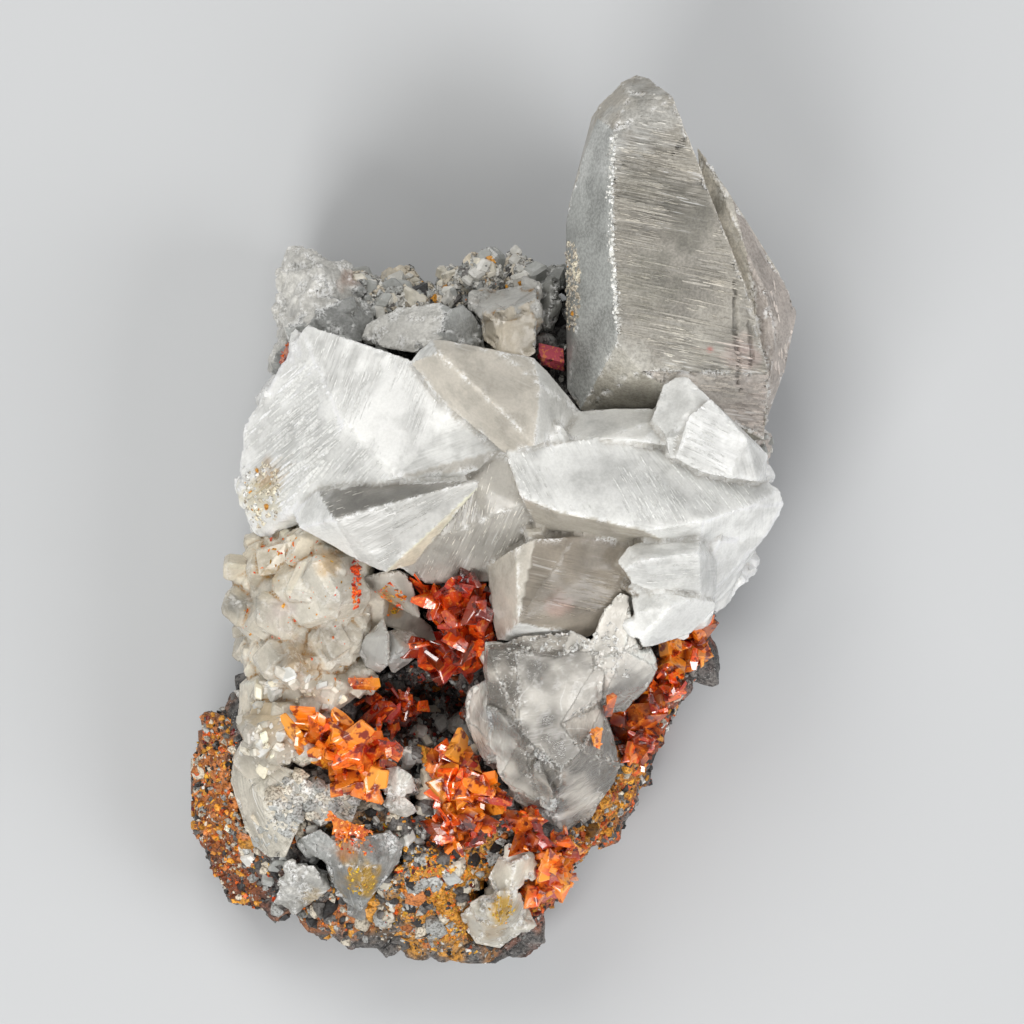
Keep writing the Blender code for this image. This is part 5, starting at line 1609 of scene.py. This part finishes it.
FLAKES = [(RED, 3), (FLAME, 3), (BLOOD, 2)]
OCHRES = [(OCHRE, 4), (YELLOW, 2), (SIENNA, 2), (ORANGE, 1.5)]
POCKET = [(COAL, 3), (SOOT, 2), (RUST, 1.5), (GRIT, 4), (RED, 0.8), (ASH, 3)]
RIDGE = [(ASH, 4), (GRIT, 1), (SUGAR, 5), (SAND, 3), (OCHRE, 0.5)]
SEAM = [(FLAME, 3), (RED, 1), (ORANGE, 3)]
FAN = [(CREAM, 4), (SAND, 2), (OCHRE, 0.6), (SNOW, 3)]
STRIP = [(SAND, 4), (BEIGE, 2), (OCHRE, 0.2), (CREAM, 2)]

# (host, slot): name, shape, middle, half axes, turn, count, smallest, largest, palette
PATCHES = {
    ("rock", "rock"): [
        ("left_crust", "crumb", (21.5, 80.0), (12.5, 3.6), -80, 1700, 0.3, 1.1, None),
        ("bottom_crust", "flake", (45.5, 90.0), (9.0, 6.0), 0, 1500, 0.3, 1.1, None),
        ("right_crust", "crumb", (63.0, 76.0), (13.0, 3.6), 62, 1500, 0.3, 1.3, None),
        ("low_right_crust", "flake", (56.0, 87.0), (6.5, 3.5), 55, 800, 0.3, 1.2, None),
        ("low_rubble", "chunk", (39.0, 85.0), (15.0, 10.0), 0, 900, 0.5, 2.6, STONES),
        ("low_rhombs", "block", (37.0, 83.0), (14.0, 9.0), 0, 200, 0.5, 2.2, CLEAN),
        ("low_specks", "flake", (40.0, 86.0), (15.0, 8.0), 0, 900, 0.3, 1.1, SPECKS),
        ("pocket_flakes", "flake", (42.0, 70.5), (6.0, 5.0), 0, 260, 0.3, 1.2, FLAKES),
        ("ochre_spread", "flake", (45.0, 89.5), (6.0, 5.0), 20, 1000, 0.3, 1.0, OCHRES),
        ("pocket_crumbs", "crumb", (43.0, 72.5), (7.0, 6.5), 0, 900, 0.3, 1.5, POCKET),
        ("pocket_blocks", "block", (41.5, 76.0), (6.0, 6.0), 0, 170, 0.5, 2.2, CLEAN),
        ("ridge_crumbs", "crumb", (46.0, 29.0), (13.0, 4.5), 0, 2600, 0.3, 1.6, RIDGE),
        ("ridge_blocks", "block", (46.0, 28.5), (13.0, 4.0), 0, 300, 0.6, 2.6, CLEAN),
        ("ridge_specks", "flake", (45.0, 29.5), (10.0, 1.6), 0, 60, 0.3, 0.9, SPECKS),
    ],
    ("calcite_druse", "cream_calcite"): [
        ("druse_grains", "block", (29.5, 73.0), (6.0, 6.0), 0, 220, 0.4, 1.8, CREAMY),
        ("druse_seam", "flake", (35.7, 58.2), (0.45, 2.6), 0, 170, 0.3, 1.3, SEAM),
        ("druse_specks", "flake", (30.0, 62.0), (6.0, 10.0), 0, 130, 0.2, 0.8, SPECKS),
        ("druse_crown", "flake", (28.0, 55.5), (2.2, 1.6), 0, 24, 0.2, 0.8, SPECKS),
    ],
    ("dog_tooth_calcite", "cream_calcite"): [
        ("tooth_ochre", "flake", (38.8, 60.0), (1.8, 1.6), 0, 120, 0.3, 0.9, SPECKS),
    ],
    ("white_calcite_cluster", "white_calcite"): [
        ("fan_grains", "crumb", (26.2, 49.5), (2.0, 3.2), 0, 160, 0.3, 1.1, FAN),
    ],
    ("fibrous_calcite_slab", "white_calcite"): [
        ("slab_foot", "chunk", (31.4, 80.8), (5.0, 3.4), 0, 300, 0.4, 2.2, CLEAN),
        ("slab_rim", "block", (27.0, 82.5), (1.6, 4.0), -50, 60, 0.4, 1.4, CLEAN),
    ],
    ("large_calcite_crystal", "grey_calcite"): [
        ("left_strip", "crumb", (57.1, 28.7), (0.9, 4.6), 0, 260, 0.3, 1.0, STRIP),
        ("foot_splinters", "block", (77.0, 44.0), (0.9, 1.6), 0, 14, 0.8, 1.8, CLEAN),
    ],
    ("grey_calcite_tooth", "grey_calcite"): [
        ("tooth_orange", "flake", (35.4, 84.2), (2.4, 1.2), -20, 90, 0.3, 1.0, BRIGHT),
        ("tooth_yellow", "flake", (36.0, 88.0), (1.6, 1.5), 0, 90, 0.3, 0.8, SUN),
    ],
    ("lower_right_calcite", "white_calcite"): [
        ("right_yellow", "flake", (50.3, 91.0), (1.3, 1.6), 0, 70, 0.25, 0.7, SUN),
    ],
    ("clear_calcite_crystal", "clear_calcite"): [
        ("clear_edge", "crumb", (55.0, 64.0), (7.0, 1.0), 0, 120, 0.2, 0.9, WHITE),
        ("clear_shoulder", "crumb", (61.0, 66.0), (2.0, 4.0), 0, 50, 0.2, 0.9, WHITE),
    ],
}
dice = np.random.default_rng(9)
for (host, slot), rows in PATCHES.items():
    for name, shape, middle, half, turn, count, smallest, largest, palette in rows:
        right, down = strewn(dice, middle, half, turn, count)
        places, facings = landed(host, right, down)
        if palette is None:
            colours = ground_tones(places, dice, GREYS)
        else:
            colours = picked(dice, palette, len(places), 0.10)
        finish = clean_finish if shape == "block" else crumb_finish
        rubble(name, shape, places, facings, smallest, largest, colours, dice, 0.15, finish)

# %% [markdown]
# ### Chips along the crest of the large crystal
#
# The edge between the front and the left flank of the large crystal is bruised, and small white chips sit
# along it. They are dropped along a bent line, and they are the only crumbs that follow an edge.

# %% Chips along the crest of the large crystal
CHIP = (240, 240, 236)
CREST = [(61.3, 13.5, 0.5), (61.0, 19.0, 0.5), (61.2, 26.0, 0.4), (61.8, 33.5, 0.4)]


def along_line(dice, line, count):
    """Random places along a bent line on the sheet: each corner has its own spread."""
    corners = np.array(line)
    step = dice.uniform(0, len(line) - 1.001, count)
    first = step.astype(int)
    part = (step - first)[:, None]
    middle = corners[first] * (1 - part) + corners[first + 1] * part
    return middle[:, 0] + dice.normal(0, 0.4, count) * middle[:, 2], middle[:, 1]


right, down = along_line(dice, CREST, 420)
places, facings = landed("large_calcite_crystal", right, down)
colours = picked(dice, [(CHIP, 1), (PALE, 1)], len(places))
rubble("crest_chips", "crumb", places, facings, 0.12, 0.6, colours, dice, 0.1, clean_finish)

# %% Size and finish
before_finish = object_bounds()
extent = [round((high - low) / MM, 1) for low, high in zip(*before_finish)]
print("the specimen is", extent, "mm in x, y and z")
